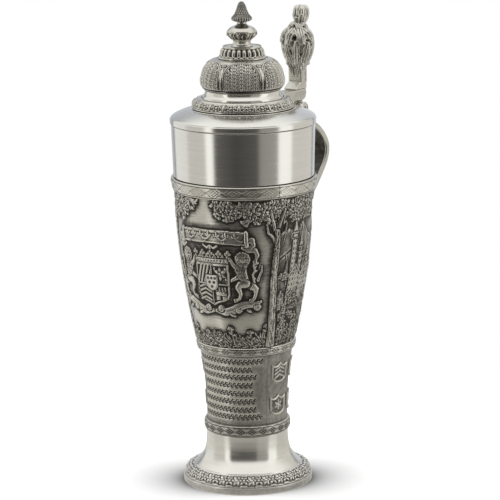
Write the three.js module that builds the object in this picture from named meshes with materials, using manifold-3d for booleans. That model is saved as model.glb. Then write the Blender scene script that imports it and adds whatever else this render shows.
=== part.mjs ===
// Tall lidded pewter tankard, millimetres, +Z up, standing on z = 0.
// The crest is at the front (-Y), the handle and hinge are at the back (+Y).
// Bearings are degrees about +Z, counted from the front towards +X.
import * as THREE from 'three';
import { mergeVertices } from 'three/addons/utils/BufferGeometryUtils.js';
import Module from 'manifold-3d';

const wasm = await Module();
wasm.setup();

// ---- driving dimensions ----------------------------------------------------
const RING_SIDES = 40;          // facets round the vessel and the lid
const FINIAL_SIDES = 20;        // facets round the finial pieces
const SOLDER_GAP = 0.1;         // play left between soldered or resting pieces
const PANEL_TURN = 3.5;         // the relief panels sit this far round from the handle's plane
const PANEL_HALF = 60;
const TREE_BEARINGS = [PANEL_TURN - PANEL_HALF, PANEL_TURN + PANEL_HALF];

const LOWER_RING_Z = [32.3, 38.9];
const MIDDLE_RING_Z = [83.0, 88.0];
const UPPER_RING_Z = [179.7, 187.6];
const BAND_TOP_Z = 219.2;
const LID_RIM_Z = 219.5;

const HINGE_Y = 55;
const HINGE_Z = 220.5;
const KNUCKLE_R = 4.2;
const PIN_R = 1.5;
const PIN_HALF = 7.4;
const LUG_BORE_R = 1.52;        // the pin sits still in the lugs
const STRAP_BORE_R = 1.57;      // the strap turns on the pin
const STRAP_KNUCKLE_HALF = 3.4;
const LUG_INNER = 3.8;

const STRAP_HALF = 4.2;         // half width of the strap and thumblift post
const STRAP_TOP_Z = 232.2;
const POST_FRONT_Y = 55.5;
const POST_BACK_Y = 62;

const HANDLE_HALF = 7;
const HANDLE_STEPS = 30;

const STUD_R = 1.6;
const STUD_BORE_R = 1.8;
const FLUTES = 24;

const BADGE_WIDTH = 13.2;
const BADGE_HEIGHT = 12.8;
const BADGE_PROUD = 1.1;
const BADGE_PITCH = 40;         // degrees between the columns of shields
const BADGE_ROWS = [['upper', 70.6], ['lower', 50.2]];

// Outer wall of the relief castings between the lower and the upper ring, [r, z].
const WALL = [
  [24.4, 38.9], [24.4, 47], [25.1, 59], [26.3, 71], [28.2, 83],
  [29.3, 88], [32.5, 103], [35.8, 122], [38.4, 141], [40.3, 162], [41.4, 179.7],
];
const WALL_THICKNESS = 2.1;

// Lid shoulder and its decorated ring, outer surface only, [r, z].
const SHOULDER = [
  [43.1, LID_RIM_Z], [43.8, 220.8], [43.8, 222.1], [43.2, 223.5], [41.8, 224.9],
  [39.1, 226.6], [35.6, 227.8], [30.3, 228.6],
];
const BORDER = [
  [30.3, 228.8], [30.3, 229.5], [29.8, 229.8], [29.7, 231], [29, 232.9], [27.8, 234.3], [26.4, 234.8],
];

// ---- materials -------------------------------------------------------------
function pewter(color, roughness) {
  return new THREE.MeshStandardMaterial({ color, roughness, metalness: 1 });
}

// ---- geometry helpers ------------------------------------------------------
function signedVolume(geometry) {
  const p = geometry.getAttribute('position');
  const index = geometry.index.array;
  const a = new THREE.Vector3();
  const b = new THREE.Vector3();
  const c = new THREE.Vector3();
  let sum = 0;
  for (let i = 0; i < index.length; i += 3) {
    a.fromBufferAttribute(p, index[i]);
    b.fromBufferAttribute(p, index[i + 1]);
    c.fromBufferAttribute(p, index[i + 2]);
    sum += a.dot(b.cross(c)) / 6;
  }
  return sum;
}

// Welds the corners of a geometry, drops the slivers at the axis and turns the faces outwards.
function weld(geometry) {
  geometry.deleteAttribute('normal');
  geometry.deleteAttribute('uv');
  const merged = mergeVertices(geometry, 1e-4);
  const index = merged.index.array;
  const kept = [];
  for (let i = 0; i < index.length; i += 3) {
    const corners = [index[i], index[i + 1], index[i + 2]];
    if (new Set(corners).size === 3) kept.push(...corners);
  }
  merged.setIndex(kept);
  if (signedVolume(merged) < 0) {
    for (let i = 0; i < kept.length; i += 3) {
      [kept[i], kept[i + 1]] = [kept[i + 1], kept[i]];
    }
    merged.setIndex(kept);
  }
  return merged;
}

function solid(geometry) {
  const clean = weld(geometry);
  return new wasm.Manifold(new wasm.Mesh({
    numProp: 3,
    vertProperties: new Float32Array(clean.getAttribute('position').array),
    triVerts: new Uint32Array(clean.index.array),
  }));
}

function union(solids) {
  return solids.reduce((whole, next) => whole.add(next));
}

// A body of revolution about +Z from a closed [r, z] outline.
function revolve(outline, sides = RING_SIDES) {
  const closed = [...outline, outline[0]];
  const points = closed.map(([r, z]) => new THREE.Vector2(r, z));
  return solid(new THREE.LatheGeometry(points, sides).rotateX(Math.PI / 2));
}

// A plain cylinder or drum between two heights.
function drum(radius, zLow, zHigh, sides = RING_SIDES) {
  return revolve([[0, zLow], [radius, zLow], [radius, zHigh], [0, zHigh]], sides);
}

function polygon(points) {
  return new THREE.Shape(points.map(([x, y]) => new THREE.Vector2(x, y)));
}

// A [y, z] outline made into a plate that spans x = from ... to.
function sidePlate(outline, from, to) {
  const plate = new THREE.ExtrudeGeometry(polygon(outline), { depth: to - from, bevelEnabled: false });
  plate.rotateZ(Math.PI / 2).rotateY(Math.PI / 2);
  return solid(plate.translate(from, 0, 0));
}

// A rod along X at the hinge axis.
function hingeRod(radius, from, to, sides = 24) {
  const rod = new THREE.CylinderGeometry(radius, radius, to - from, sides);
  rod.rotateZ(Math.PI / 2).translate((from + to) / 2, HINGE_Y, HINGE_Z);
  return solid(rod);
}

// The slice of a revolved body between two bearings.
function sector(body, from, to) {
  const reach = 90;
  const steps = Math.ceil((to - from) / 30);
  const corners = [[0, 0]];
  for (let i = 0; i <= steps; i += 1) {
    const bearing = THREE.MathUtils.degToRad(from + ((to - from) * i) / steps);
    corners.push([reach * Math.sin(bearing), -reach * Math.cos(bearing)]);
  }
  const wedge = new THREE.ExtrudeGeometry(polygon(corners), { depth: 320, bevelEnabled: false });
  return body.intersect(solid(wedge));
}

// A prism that leaves the axis towards a bearing: shape x runs round the wall, shape y is height.
function radialPrism(shape, bearing, z) {
  const prism = new THREE.ExtrudeGeometry(shape, { depth: 60, bevelEnabled: false, curveSegments: 3 });
  prism.rotateX(Math.PI / 2).rotateZ(THREE.MathUtils.degToRad(bearing));
  return solid(prism.translate(0, 0, z));
}

function wallRadius(z) {
  const above = Math.min(WALL.findIndex((point) => point[1] > z), WALL.length - 1);
  const [r0, z0] = WALL[above - 1];
  const [r1, z1] = WALL[above];
  return THREE.MathUtils.mapLinear(z, z0, z1, r0, r1);
}

// A skin that follows the relief wall between two offsets.
function wallSkin(inner, outer, zLow, zHigh) {
  const heights = [zLow, ...WALL.map((point) => point[1]).filter((z) => z > zLow && z < zHigh), zHigh];
  const outside = heights.map((z) => [wallRadius(z) + outer, z]);
  const inside = heights.map((z) => [wallRadius(z) + inner, z]).reverse();
  return revolve([...outside, ...inside]);
}

// An outer surface grown by a gap and closed to the axis, used to cut what rests against it.
function clearance(outline, gap, bottomZ) {
  const grown = outline.map(([r, z]) => [r + gap, z + gap]);
  return revolve([[0, bottomZ], [grown[0][0], bottomZ], ...grown, [0, grown.at(-1)[1]]]);
}

function mesh(name, body, material) {
  const data = body.getMesh();
  const geometry = new THREE.BufferGeometry();
  geometry.setAttribute('position', new THREE.BufferAttribute(data.vertProperties, 3));
  geometry.setIndex(new THREE.BufferAttribute(data.triVerts, 1));
  const flat = geometry.toNonIndexed();
  flat.computeVertexNormals();
  const node = new THREE.Mesh(flat, material);
  node.name = name;
  return node;
}

// ---- vessel ----------------------------------------------------------------
function foot() {
  return revolve([
    [39, 0], [38.8, 4.1], [38, 4.6], [37.2, 6.8], [35.2, 9.2], [32.4, 10.5],
    [28.7, 14.6], [26.3, 17.1], [24.9, 21.5], [24.6, 32.2],
    [21, 32.2], [21.3, 21], [24.4, 15], [33, 8], [35.4, 2.1], [36.6, 2.1], [36.6, 0],
  ]);
}

// One of the three wall castings: lozenge rings, wall, its own relief and its share of the trees.
function reliefStave(middle, relief) {
  const [lowA, lowB] = LOWER_RING_Z;
  const [midA, midB] = MIDDLE_RING_Z;
  const [upA, upB] = UPPER_RING_Z;
  const between = (a, b) => WALL.filter(([, z]) => z > a && z < b);
  const lowerWall = between(lowB, midA);
  const upperWall = between(midB, upA);
  const bore = [...lowerWall, ...upperWall].map(([r, z]) => [r - WALL_THICKNESS, z]).reverse();
  const outline = [
    [25.3, lowA], [25.7, lowA + 1], [25.7, lowB - 0.8], [24.4, lowB],
    ...lowerWall,
    [28.1, midA], [28.9, midA + 0.1], [29.9, midB - 0.3], [29.3, midB],
    ...upperWall,
    [41.4, upA], [42.2, upA + 0.1], [43.6, upA + 5.3], [42.9, upB],
    [41.1, upB], [41.1, 183.9], [39.9, 183.9],
    ...bore,
    [22.4, lowA],
  ];
  const half = PANEL_HALF - 0.1;        // leaves the solder line open
  const trees = raised(TREE_BEARINGS.map(trunk));
  return sector(union([revolve(outline), relief(middle), trees]), middle - half, middle + half);
}

function shieldShape(width, height) {
  const w = width / 2;
  const h = height / 2;
  const shape = new THREE.Shape();
  shape.moveTo(-w, h * 0.86);
  shape.quadraticCurveTo(-w * 0.45, h * 0.7, 0, h);
  shape.quadraticCurveTo(w * 0.45, h * 0.7, w, h * 0.86);
  shape.lineTo(w * 0.92, -h * 0.4);
  shape.quadraticCurveTo(w * 0.75, -h * 0.9, 0, -h);
  shape.quadraticCurveTo(-w * 0.75, -h * 0.9, -w * 0.92, -h * 0.4);
  shape.closePath();
  return shape;
}

// A skin on the upper wall cut to a list of flat outlines, each [outline, bearing, height].
function raised(pieces) {
  const skin = wallSkin(-0.5, 1.1, 90, 178.5);
  return union(pieces.map(([shape, bearing, z]) => skin.intersect(radialPrism(shape, bearing, z))));
}

// Tree trunk that covers a seam beside the front panel, forked near the top.
function trunk(bearing) {
  const outline = [
    [-2.6, 90], [2.2, 90], [1.7, 150], [4.6, 172], [2.9, 172], [0.3, 158], [-3.2, 173], [-5, 172], [-2, 150],
  ];
  return [polygon(outline), bearing, 0];
}

// Crest shield with its crown, banner and scroll, and the inscription tablet on the lower wall.
function frontRelief(middle) {
  const crown = [[-10, 0], [10, 0], [11, 7], [7, 4], [4, 8], [0, 4], [-4, 8], [-7, 4], [-11, 7]];
  const banner = [[-22.5, -5], [0, -3.2], [22.5, -5], [22.5, 2.8], [0, 4.4], [-22.5, 2.8]];
  const scroll = [[-26, 3], [-20, -1], [-9, -3], [0, -1], [9, -3], [20, -1], [26, 3], [24, 5], [-24, 5]];
  const tabletSkin = wallSkin(-0.5, 0.5, 42, 80);
  const tablet = polygon([[-22, 42], [22, 42], [25, 80], [-25, 80]]);
  return union([
    raised([
      [shieldShape(22, 26), middle, 128],
      [polygon(crown), middle, 141.4],
      [polygon(banner), middle, 157.4],
      [polygon(scroll), middle, 113.2],
    ]),
    tabletSkin.intersect(radialPrism(tablet, middle, 0)),
  ]);
}

// Raised towers of the castle scene on a side casting.
function sceneRelief(middle) {
  const tower = (half, height) => (
    polygon([[-half, 0], [half, 0], [half, height], [0, height + 9], [-half, height]])
  );
  const towers = [[-39, 2.4, 34], [-28, 4.4, 24], [-15, 3.4, 40], [4, 5, 28], [20, 3.2, 36], [38, 4, 22]];
  return raised(towers.map(([offset, half, height]) => [tower(half, height), middle + offset, 118]));
}

function lipBand() {
  return revolve([
    [41, 184], [41, 187.7], [41.9, 187.7], [42.7, BAND_TOP_Z - 1], [42.4, BAND_TOP_Z],
    [41.2, BAND_TOP_Z], [40.9, BAND_TOP_Z - 0.6], [40, 187], [40, 184],
  ]);
}

function badge(bearing, z) {
  const half = BADGE_HEIGHT / 2 + 1;
  const skin = wallSkin(SOLDER_GAP, BADGE_PROUD, z - half, z + half);
  return skin.intersect(radialPrism(shieldShape(BADGE_WIDTH, BADGE_HEIGHT), bearing, z));
}

// ---- handle and hinge ------------------------------------------------------
function handleSweep() {
  const centreLine = [
    [52, 208.4], [60.5, 209.6], [67.8, 208.6], [75.6, 202.9], [80.6, 196.2], [81.2, 190.6],
    [79.3, 185.4], [74.6, 179.2], [69, 173], [63, 166.8], [56.5, 159.5], [50, 151.2], [44.5, 144], [37, 138.5],
  ];
  const path = new THREE.CatmullRomCurve3(centreLine.map(([y, z]) => new THREE.Vector3(0, y, z)));
  const w = HANDLE_HALF;
  const section = polygon([
    [-w, -1.1], [-w + 0.6, -1.6], [w - 0.6, -1.6], [w, -1.1], [w, 1.3], [w - 0.5, 1.8], [w - 1.4, 1.8],
    [w - 1.8, 1.1], [1.8 - w, 1.1], [1.4 - w, 1.8], [0.5 - w, 1.8], [-w, 1.3],
  ]);
  return solid(new THREE.ExtrudeGeometry(section, {
    steps: HANDLE_STEPS, bevelEnabled: false, extrudePath: path,
  }));
}

// The handle casting: ear-shaped strap, the block soldered to the band and the two hinge lugs.
function handle() {
  const block = sidePlate([
    [40, 202], [50, 204.5], [60, 206.8], [60.5, 211.4], [57.5, 213.5], [51, 214.5], [46.5, 213.5], [40, 212.5],
  ], -HANDLE_HALF, HANDLE_HALF);
  const leg = [[51, 212], [58, 212], [HINGE_Y + 4, HINGE_Z], [HINGE_Y - 4, HINGE_Z]];
  const lugs = [[LUG_INNER, PIN_HALF], [-PIN_HALF, -LUG_INNER]].map(([from, to]) => (
    sidePlate(leg, from, to).add(hingeRod(KNUCKLE_R, from, to))
  ));
  const bandEnvelope = clearance([[41.9, 187.7], [42.7, BAND_TOP_Z - 1], [42.7, BAND_TOP_Z + 3]], SOLDER_GAP, 187);
  const wallEnvelope = clearance(WALL.filter(([, z]) => z > 100 && z < 178), 0.3, 100);
  return union([handleSweep(), block, ...lugs])
    .subtract(hingeRod(LUG_BORE_R, -9, 9))
    .subtract(bandEnvelope)
    .subtract(wallEnvelope);
}

// ---- lid -------------------------------------------------------------------
function lidShoulder() {
  return revolve([
    [40.1, 215.3], [40.1, LID_RIM_Z], ...SHOULDER, [24, 228.7], [24, 226.6], [34.5, 225.8],
    [37.6, 223.8], [38.5, 221], [38.5, 215.3],
  ]);
}

function borderRing() {
  return revolve([...BORDER, [24.6, 234.6], [24.6, 228.8]]);
}

function lidCollar() {
  return revolve([
    [24.3, 228.8], [24.3, 234.2], [22.6, 236.4], [22, 238.2], [22.5, 240.2],
    [20.4, 240.2], [20.5, 236.5], [22.2, 233.6], [22.2, 228.8],
  ]);
}

const DOME = [
  [23.2, 240.4], [24.4, 243.6], [24.3, 247], [22.9, 251.5], [20.9, 254.3], [18.4, 256.4], [14.6, 257.8],
];

function lidDome() {
  const inside = DOME.map(([r, z]) => [r - 1.7, Math.max(z - 1.3, 240.4)]).reverse();
  const shell = revolve([...DOME, [STUD_BORE_R, 257.8], [STUD_BORE_R, 256], ...inside]);
  const skinOut = DOME.map(([r, z]) => [r + 0.35, z]);
  const skinIn = DOME.map(([r, z]) => [r - 0.6, z]).reverse();
  const skin = revolve([...skinOut, ...skinIn]);
  const straps = [];
  for (let bearing = 3; bearing < 360; bearing += 60) {
    straps.push(sector(skin, bearing - 5, bearing + 5));
  }
  return union([shell, ...straps]);
}

// Gadrooned ring: every second facet line is pulled in to make the flutes.
function crownRing() {
  const profile = [
    [STUD_BORE_R, 257.9], [14.4, 257.9], [14.4, 258.9], [13.3, 259.6], [12.9, 262], [10.6, 264.8],
    [STUD_BORE_R, 264.8], [STUD_BORE_R, 257.9],
  ];
  const points = profile.map(([r, z]) => new THREE.Vector2(r, z));
  const ring = new THREE.LatheGeometry(points, FLUTES * 2);
  const position = ring.getAttribute('position');
  for (let i = 0; i < position.count; i += 1) {
    const facetLine = Math.floor(i / points.length);
    const height = position.getY(i);
    const fluted = height > 259 && height < 263 && facetLine % 2 === 1;
    const scale = fluted ? 0.93 : 1;
    position.setXYZ(i, position.getX(i) * scale, height, position.getZ(i) * scale);
  }
  return solid(ring.rotateX(Math.PI / 2));
}

function finialKnop() {
  return revolve([
    [STUD_BORE_R, 264.9], [6.5, 264.9], [5.2, 267.2], [5.6, 268.6], [8.6, 271], [9.3, 272.8],
    [8.7, 274.6], [6.8, 276.2], [3.5, 277.4], [2.8, 279.2], [STUD_BORE_R, 279.2],
  ], FINIAL_SIDES);
}

function finialBud() {
  return revolve([
    [STUD_BORE_R, 279.3], [3, 279.3], [5.4, 280.1], [6.1, 281.8], [4.4, 283.8], [1.7, 289.8],
    [0.9, 291], [0, 291.3], [0, 286], [STUD_BORE_R, 285.2],
  ], FINIAL_SIDES);
}

function finialNut() {
  const hexagon = drum(3.5, 253.2, 255.8, 6);
  return hexagon.subtract(drum(STUD_BORE_R, 252, 257, FINIAL_SIDES));
}

// Arm soldered to the lid, with the knuckle that turns on the pin.
function lidStrap() {
  const arm = sidePlate([
    [28, STRAP_TOP_Z], [28, 227], [44, 222], [47, 223.6], [50.5, 225.4], [59.5, 225.4], [61.5, 226.8],
    [62.4, 229.4], [61.8, STRAP_TOP_Z],
  ], -STRAP_HALF, STRAP_HALF);
  const web = [[51.2, HINGE_Z], [58.8, HINGE_Z], [58.8, 226], [51.2, 226]];
  const knuckle = sidePlate(web, -STRAP_KNUCKLE_HALF, STRAP_KNUCKLE_HALF)
    .add(hingeRod(KNUCKLE_R, -STRAP_KNUCKLE_HALF, STRAP_KNUCKLE_HALF));
  return union([arm, knuckle])
    .subtract(hingeRod(STRAP_BORE_R, -9, 9))
    .subtract(clearance([...SHOULDER, ...BORDER], SOLDER_GAP, 215));
}

function ellipsoid([x, y, z], [rx, ry, rz]) {
  const ball = new THREE.SphereGeometry(1, 14, 8).rotateX(Math.PI / 2);
  return solid(ball.scale(rx, ry, rz).translate(x, y, z));
}

// Pointed leaf blade with notched edges, lying in the X-Z plane with its stem at the origin.
function leafPlate(length, width, thickness) {
  const side = [[0.08, 0.1], [0.5, 0.22], [0.42, 0.42], [0.5, 0.55], [0.3, 0.68], [0.26, 0.82]];
  const right = side.map(([x, y]) => [x * width, y * length]);
  const left = right.map(([x, y]) => [-x, y]).reverse();
  const blade = new THREE.ExtrudeGeometry(polygon([...right, [0, length], ...left]), {
    depth: thickness, bevelEnabled: false,
  });
  return blade.translate(0, 0, -thickness / 2).rotateX(Math.PI / 2);
}

// Cast thumblift: sloped ledge, square post, leaf cluster and closing bud.
function thumblift() {
  const post = sidePlate([
    [50, STRAP_TOP_Z + SOLDER_GAP], [POST_BACK_Y, STRAP_TOP_Z + SOLDER_GAP], [POST_BACK_Y, 252],
    [POST_FRONT_Y, 252], [POST_FRONT_Y, 236.2],
  ], -STRAP_HALF, STRAP_HALF);
  const masses = [
    ellipsoid([0, 58.8, 258], [7.6, 5.6, 11]),
    ellipsoid([0, 61, 269], [3.6, 3.2, 7]),
    ellipsoid([0, 63.2, 276.6], [4.8, 4.4, 7]),
  ];
  const leaves = [
    { length: 13, width: 12, turn: 115, at: [2, 58, 264] },
    { length: 13, width: 12, turn: -115, at: [-2, 58, 264] },
    { length: 11, width: 10, turn: 60, at: [1, 60, 248] },
    { length: 11, width: 10, turn: -60, at: [-1, 60, 248] },
  ].map(({ length, width, turn, at }) => (
    solid(leafPlate(length, width, 5).rotateY(THREE.MathUtils.degToRad(turn)).translate(...at))
  ));
  const frontLeaf = solid(leafPlate(14, 10, 2.4).rotateX(THREE.MathUtils.degToRad(188)).translate(0, 53.4, 268));
  return union([post, ...masses, ...leaves, frontLeaf]);
}

// ---- assembly --------------------------------------------------------------
const bright = pewter(0xb9b8b2, 0.28);
const antique = pewter(0x8d8a83, 0.42);
const steel = pewter(0x9a9da0, 0.35);

const tankard = new THREE.Group();
tankard.name = 'pewter_tankard';
const vessel = new THREE.Group();
vessel.name = 'vessel';
const lid = new THREE.Group();
lid.name = 'lid';
tankard.add(vessel, lid);

const frontPanel = PANEL_TURN;
const rightPanel = PANEL_TURN + 2 * PANEL_HALF;
const leftPanel = PANEL_TURN + 4 * PANEL_HALF;
vessel.add(
  mesh('foot', foot(), bright.clone()),
  mesh('foot_base_plate', drum(36.4, 0, 2), bright.clone()),
  mesh('vessel_floor', drum(22.2, 32.3, 34.8), bright.clone()),
  mesh('relief_stave_front', reliefStave(frontPanel, frontRelief), antique.clone()),
  mesh('relief_stave_right', reliefStave(rightPanel, sceneRelief), antique.clone()),
  mesh('relief_stave_left', reliefStave(leftPanel, sceneRelief), antique.clone()),
  mesh('lip_band', lipBand(), bright.clone()),
  mesh('handle', handle(), antique.clone()),
  mesh('hinge_pin', hingeRod(PIN_R, -PIN_HALF, PIN_HALF), steel.clone()),
);
for (const [row, z] of BADGE_ROWS) {
  for (const [side, middle] of [['right', rightPanel], ['left', leftPanel]]) {
    for (const column of [1, 2, 3]) {
      const bearing = middle + (column - 2) * BADGE_PITCH;
      vessel.add(mesh(`shield_badge_${side}_${row}_${column}`, badge(bearing, z), antique.clone()));
    }
  }
}
lid.add(
  mesh('lid_shoulder', lidShoulder(), bright.clone()),
  mesh('lid_border_ring', borderRing(), antique.clone()),
  mesh('lid_collar', lidCollar(), bright.clone()),
  mesh('lid_dome', lidDome(), antique.clone()),
  mesh('dome_crown_ring', crownRing(), antique.clone()),
  mesh('finial_knop', finialKnop(), bright.clone()),
  mesh('finial_bud', finialBud(), antique.clone()),
  mesh('finial_stud', drum(STUD_R, 252, 285, 16), steel.clone()),
  mesh('finial_nut', finialNut(), steel.clone()),
  mesh('lid_hinge_strap', lidStrap(), antique.clone()),
  mesh('thumblift', thumblift(), antique.clone()),
);

export default tankard;
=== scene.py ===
"""Looks of the lidded pewter tankard: every casting rebuilt as a dense relief mesh on the CAD frame."""

import math

import bpy
import numpy as np
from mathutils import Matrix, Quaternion, Vector

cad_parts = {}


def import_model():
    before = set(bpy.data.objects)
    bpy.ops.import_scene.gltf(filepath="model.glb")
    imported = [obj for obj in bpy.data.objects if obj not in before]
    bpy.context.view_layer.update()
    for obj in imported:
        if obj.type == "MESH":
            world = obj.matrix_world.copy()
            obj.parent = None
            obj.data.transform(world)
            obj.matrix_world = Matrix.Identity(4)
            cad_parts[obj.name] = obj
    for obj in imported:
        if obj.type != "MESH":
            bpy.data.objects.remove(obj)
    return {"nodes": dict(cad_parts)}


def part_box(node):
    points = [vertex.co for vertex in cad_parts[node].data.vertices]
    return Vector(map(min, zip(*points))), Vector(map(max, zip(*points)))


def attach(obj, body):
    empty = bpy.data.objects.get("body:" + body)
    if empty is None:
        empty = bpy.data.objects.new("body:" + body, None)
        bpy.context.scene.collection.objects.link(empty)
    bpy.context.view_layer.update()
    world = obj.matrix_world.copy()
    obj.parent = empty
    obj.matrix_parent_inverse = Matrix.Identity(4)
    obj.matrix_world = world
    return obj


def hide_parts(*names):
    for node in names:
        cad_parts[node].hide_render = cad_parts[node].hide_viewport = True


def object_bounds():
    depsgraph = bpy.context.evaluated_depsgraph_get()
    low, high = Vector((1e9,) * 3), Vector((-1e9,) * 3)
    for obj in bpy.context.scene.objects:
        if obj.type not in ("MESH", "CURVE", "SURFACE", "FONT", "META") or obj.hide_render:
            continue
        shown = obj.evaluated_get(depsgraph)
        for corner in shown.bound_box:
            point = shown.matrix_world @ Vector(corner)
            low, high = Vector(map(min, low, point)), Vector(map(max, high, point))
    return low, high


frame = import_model()
CAD_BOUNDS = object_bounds()

MM = 0.001
PANEL_TURN = 3.5            # bearing of the crest, degrees from the front towards +X
PANEL = 120.0               # degrees per wall casting
LOZENGE = 15.0              # degrees per lozenge on the three rings


# ---------------------------------------------------------------- meshes
def new_object(name, verts_mm, faces, material, body, replaces=(), smooth=True):
    """Makes one piece from vertices in millimetres and a list of faces or an array of quads."""
    mesh = bpy.data.meshes.new(name)
    mesh.from_pydata((np.asarray(verts_mm) * MM).tolist(), [],
                     faces if isinstance(faces, list) else faces.tolist())
    mesh.update()
    obj = bpy.data.objects.new(name, mesh)
    bpy.context.scene.collection.objects.link(obj)
    mesh.polygons.foreach_set("use_smooth", [smooth] * len(mesh.polygons))
    mesh.materials.append(material)
    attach(obj, body)
    if replaces:
        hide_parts(*replaces)
    return obj


def curve_through(points, step=0.35):
    """Samples a smooth curve that passes through the points."""
    p = np.asarray(points, float)
    if len(p) < 3:
        n = max(1, math.ceil(np.linalg.norm(p[1] - p[0]) / step))
        t = np.linspace(0, 1, n + 1)[:, None]
        return p[0] * (1 - t) + p[1] * t
    ends = np.vstack([2 * p[0] - p[1], p, 2 * p[-1] - p[-2]])
    out = []
    for i in range(1, len(p)):
        p0, p1, p2, p3 = ends[i - 1:i + 3]
        n = max(1, math.ceil(np.linalg.norm(p2 - p1) / step))
        t = (np.arange(n) / n)[:, None]
        out.append(0.5 * (2 * p1 + (p2 - p0) * t + (2 * p0 - 5 * p1 + 4 * p2 - p3) * t ** 2
                          + (3 * p1 - p0 - 3 * p2 + p3) * t ** 3))
    return np.vstack(out + [p[-1:]])


def outline(*runs, step=0.35, ease=2):
    """A closed outline made of smooth runs with slightly eased corners where they meet."""
    loop = np.vstack([curve_through(run, step) if len(run) > 1 else np.asarray(run, float) for run in runs])
    keep = np.linalg.norm(loop - np.roll(loop, 1, 0), axis=1) > 1e-4
    loop = loop[keep]
    for _ in range(ease):
        after = np.roll(loop, -1, 0)
        span = np.linalg.norm(after - loop, axis=1, keepdims=True)
        cut = np.minimum(0.25, 0.06 / np.maximum(span, 1e-6))
        loop = np.stack([loop + (after - loop) * cut, after + (loop - after) * cut], 1).reshape(-1, 2)
        keep = np.linalg.norm(loop - np.roll(loop, 1, 0), axis=1) > 0.02
        loop = loop[keep]
    return loop


def outline_normals(loop):
    ahead = np.roll(loop, -1, 0) - np.roll(loop, 1, 0)
    normal = np.stack([ahead[:, 1], -ahead[:, 0]], 1)
    normal /= np.maximum(np.linalg.norm(normal, axis=1, keepdims=True), 1e-9)
    return normal if anticlockwise(loop) else -normal


def ring_points(radius, z, bearings):
    """Vertices of rings: radius and z of shape rows x columns, one column per bearing."""
    angle = np.radians(bearings)[None, :]
    return np.stack([radius * np.sin(angle), -radius * np.cos(angle), z], -1).reshape(-1, 3)


def grid_quads(rows, cols, wrap_rows, wrap_cols):
    i, j = np.meshgrid(np.arange(rows if wrap_rows else rows - 1),
                       np.arange(cols if wrap_cols else cols - 1), indexing="ij")
    a = i * cols + j
    b = i * cols + (j + 1) % cols
    c = ((i + 1) % rows) * cols + (j + 1) % cols
    d = ((i + 1) % rows) * cols + j
    return np.stack([a, b, c, d], -1).reshape(-1, 4)


def turned(name, loop, columns, material, body, relief=None, film=0.0, poles=False, strength=4.0):
    """A turned piece from a closed outline. relief(loop, bearings) adds height along the normals.
    With poles the outline starts and ends on the axis instead of closing on itself."""
    bearings = (np.arange(columns) + 0.5) * 360 / columns - 180 + PANEL_TURN
    if poles:
        loop = loop[loop[:, 0] > 1e-3]
    h = np.zeros((len(loop), columns)) if relief is None else relief(loop, bearings)
    normal = outline_normals(loop)
    radius = loop[:, :1] + normal[:, :1] * h
    z = loop[:, 1:] + normal[:, 1:] * h
    quads = grid_quads(len(loop), columns, not poles, True)
    faces = quads.tolist()
    if poles:
        last = (len(loop) - 1) * columns
        faces += [list(range(columns))[::-1], [last + k for k in range(columns)]]
    if not anticlockwise(loop):
        faces = [face[::-1] for face in faces]
    obj = new_object(name, ring_points(radius, z, bearings), faces, material, body, (name,))
    hollow = relief_hollow(h) + profile_hollow(loop, normal)[:, None]
    if callable(film):
        film = film(loop)[:, None]
    set_patina(obj, film + strength * hollow)
    return obj


def anticlockwise(loop):
    return np.sum(loop[:, 0] * np.roll(loop[:, 1], -1) - np.roll(loop[:, 0], -1) * loop[:, 1]) > 0


def profile_hollow(loop, normal):
    """How far each point of an outline lies inside its own smoothed line, in millimetres."""
    moved = loop.copy()
    for _ in range(10):
        moved = 0.5 * moved + 0.25 * (np.roll(moved, 1, 0) + np.roll(moved, -1, 0))
    return np.clip(np.sum((moved - loop) * normal, 1), -0.3, 0.3)


def box_blur(field, rows, cols):
    out = field
    for axis, reach in ((0, rows), (1, cols)):
        if reach < 1:
            continue
        pad = [(0, 0), (0, 0)]
        pad[axis] = (reach + 1, reach)
        total = np.cumsum(np.pad(out, pad, mode="edge"), axis=axis)
        size = 2 * reach + 1
        high = np.take(total, np.arange(size, total.shape[axis]), axis=axis)
        low = np.take(total, np.arange(0, total.shape[axis] - size), axis=axis)
        out = (high - low) / size
    return out


def relief_hollow(h):
    near = box_blur(box_blur(h, 2, 2), 2, 2) - h
    wide = box_blur(box_blur(h, 5, 5), 5, 5) - h
    return 0.6 * near + 0.5 * wide


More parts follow.
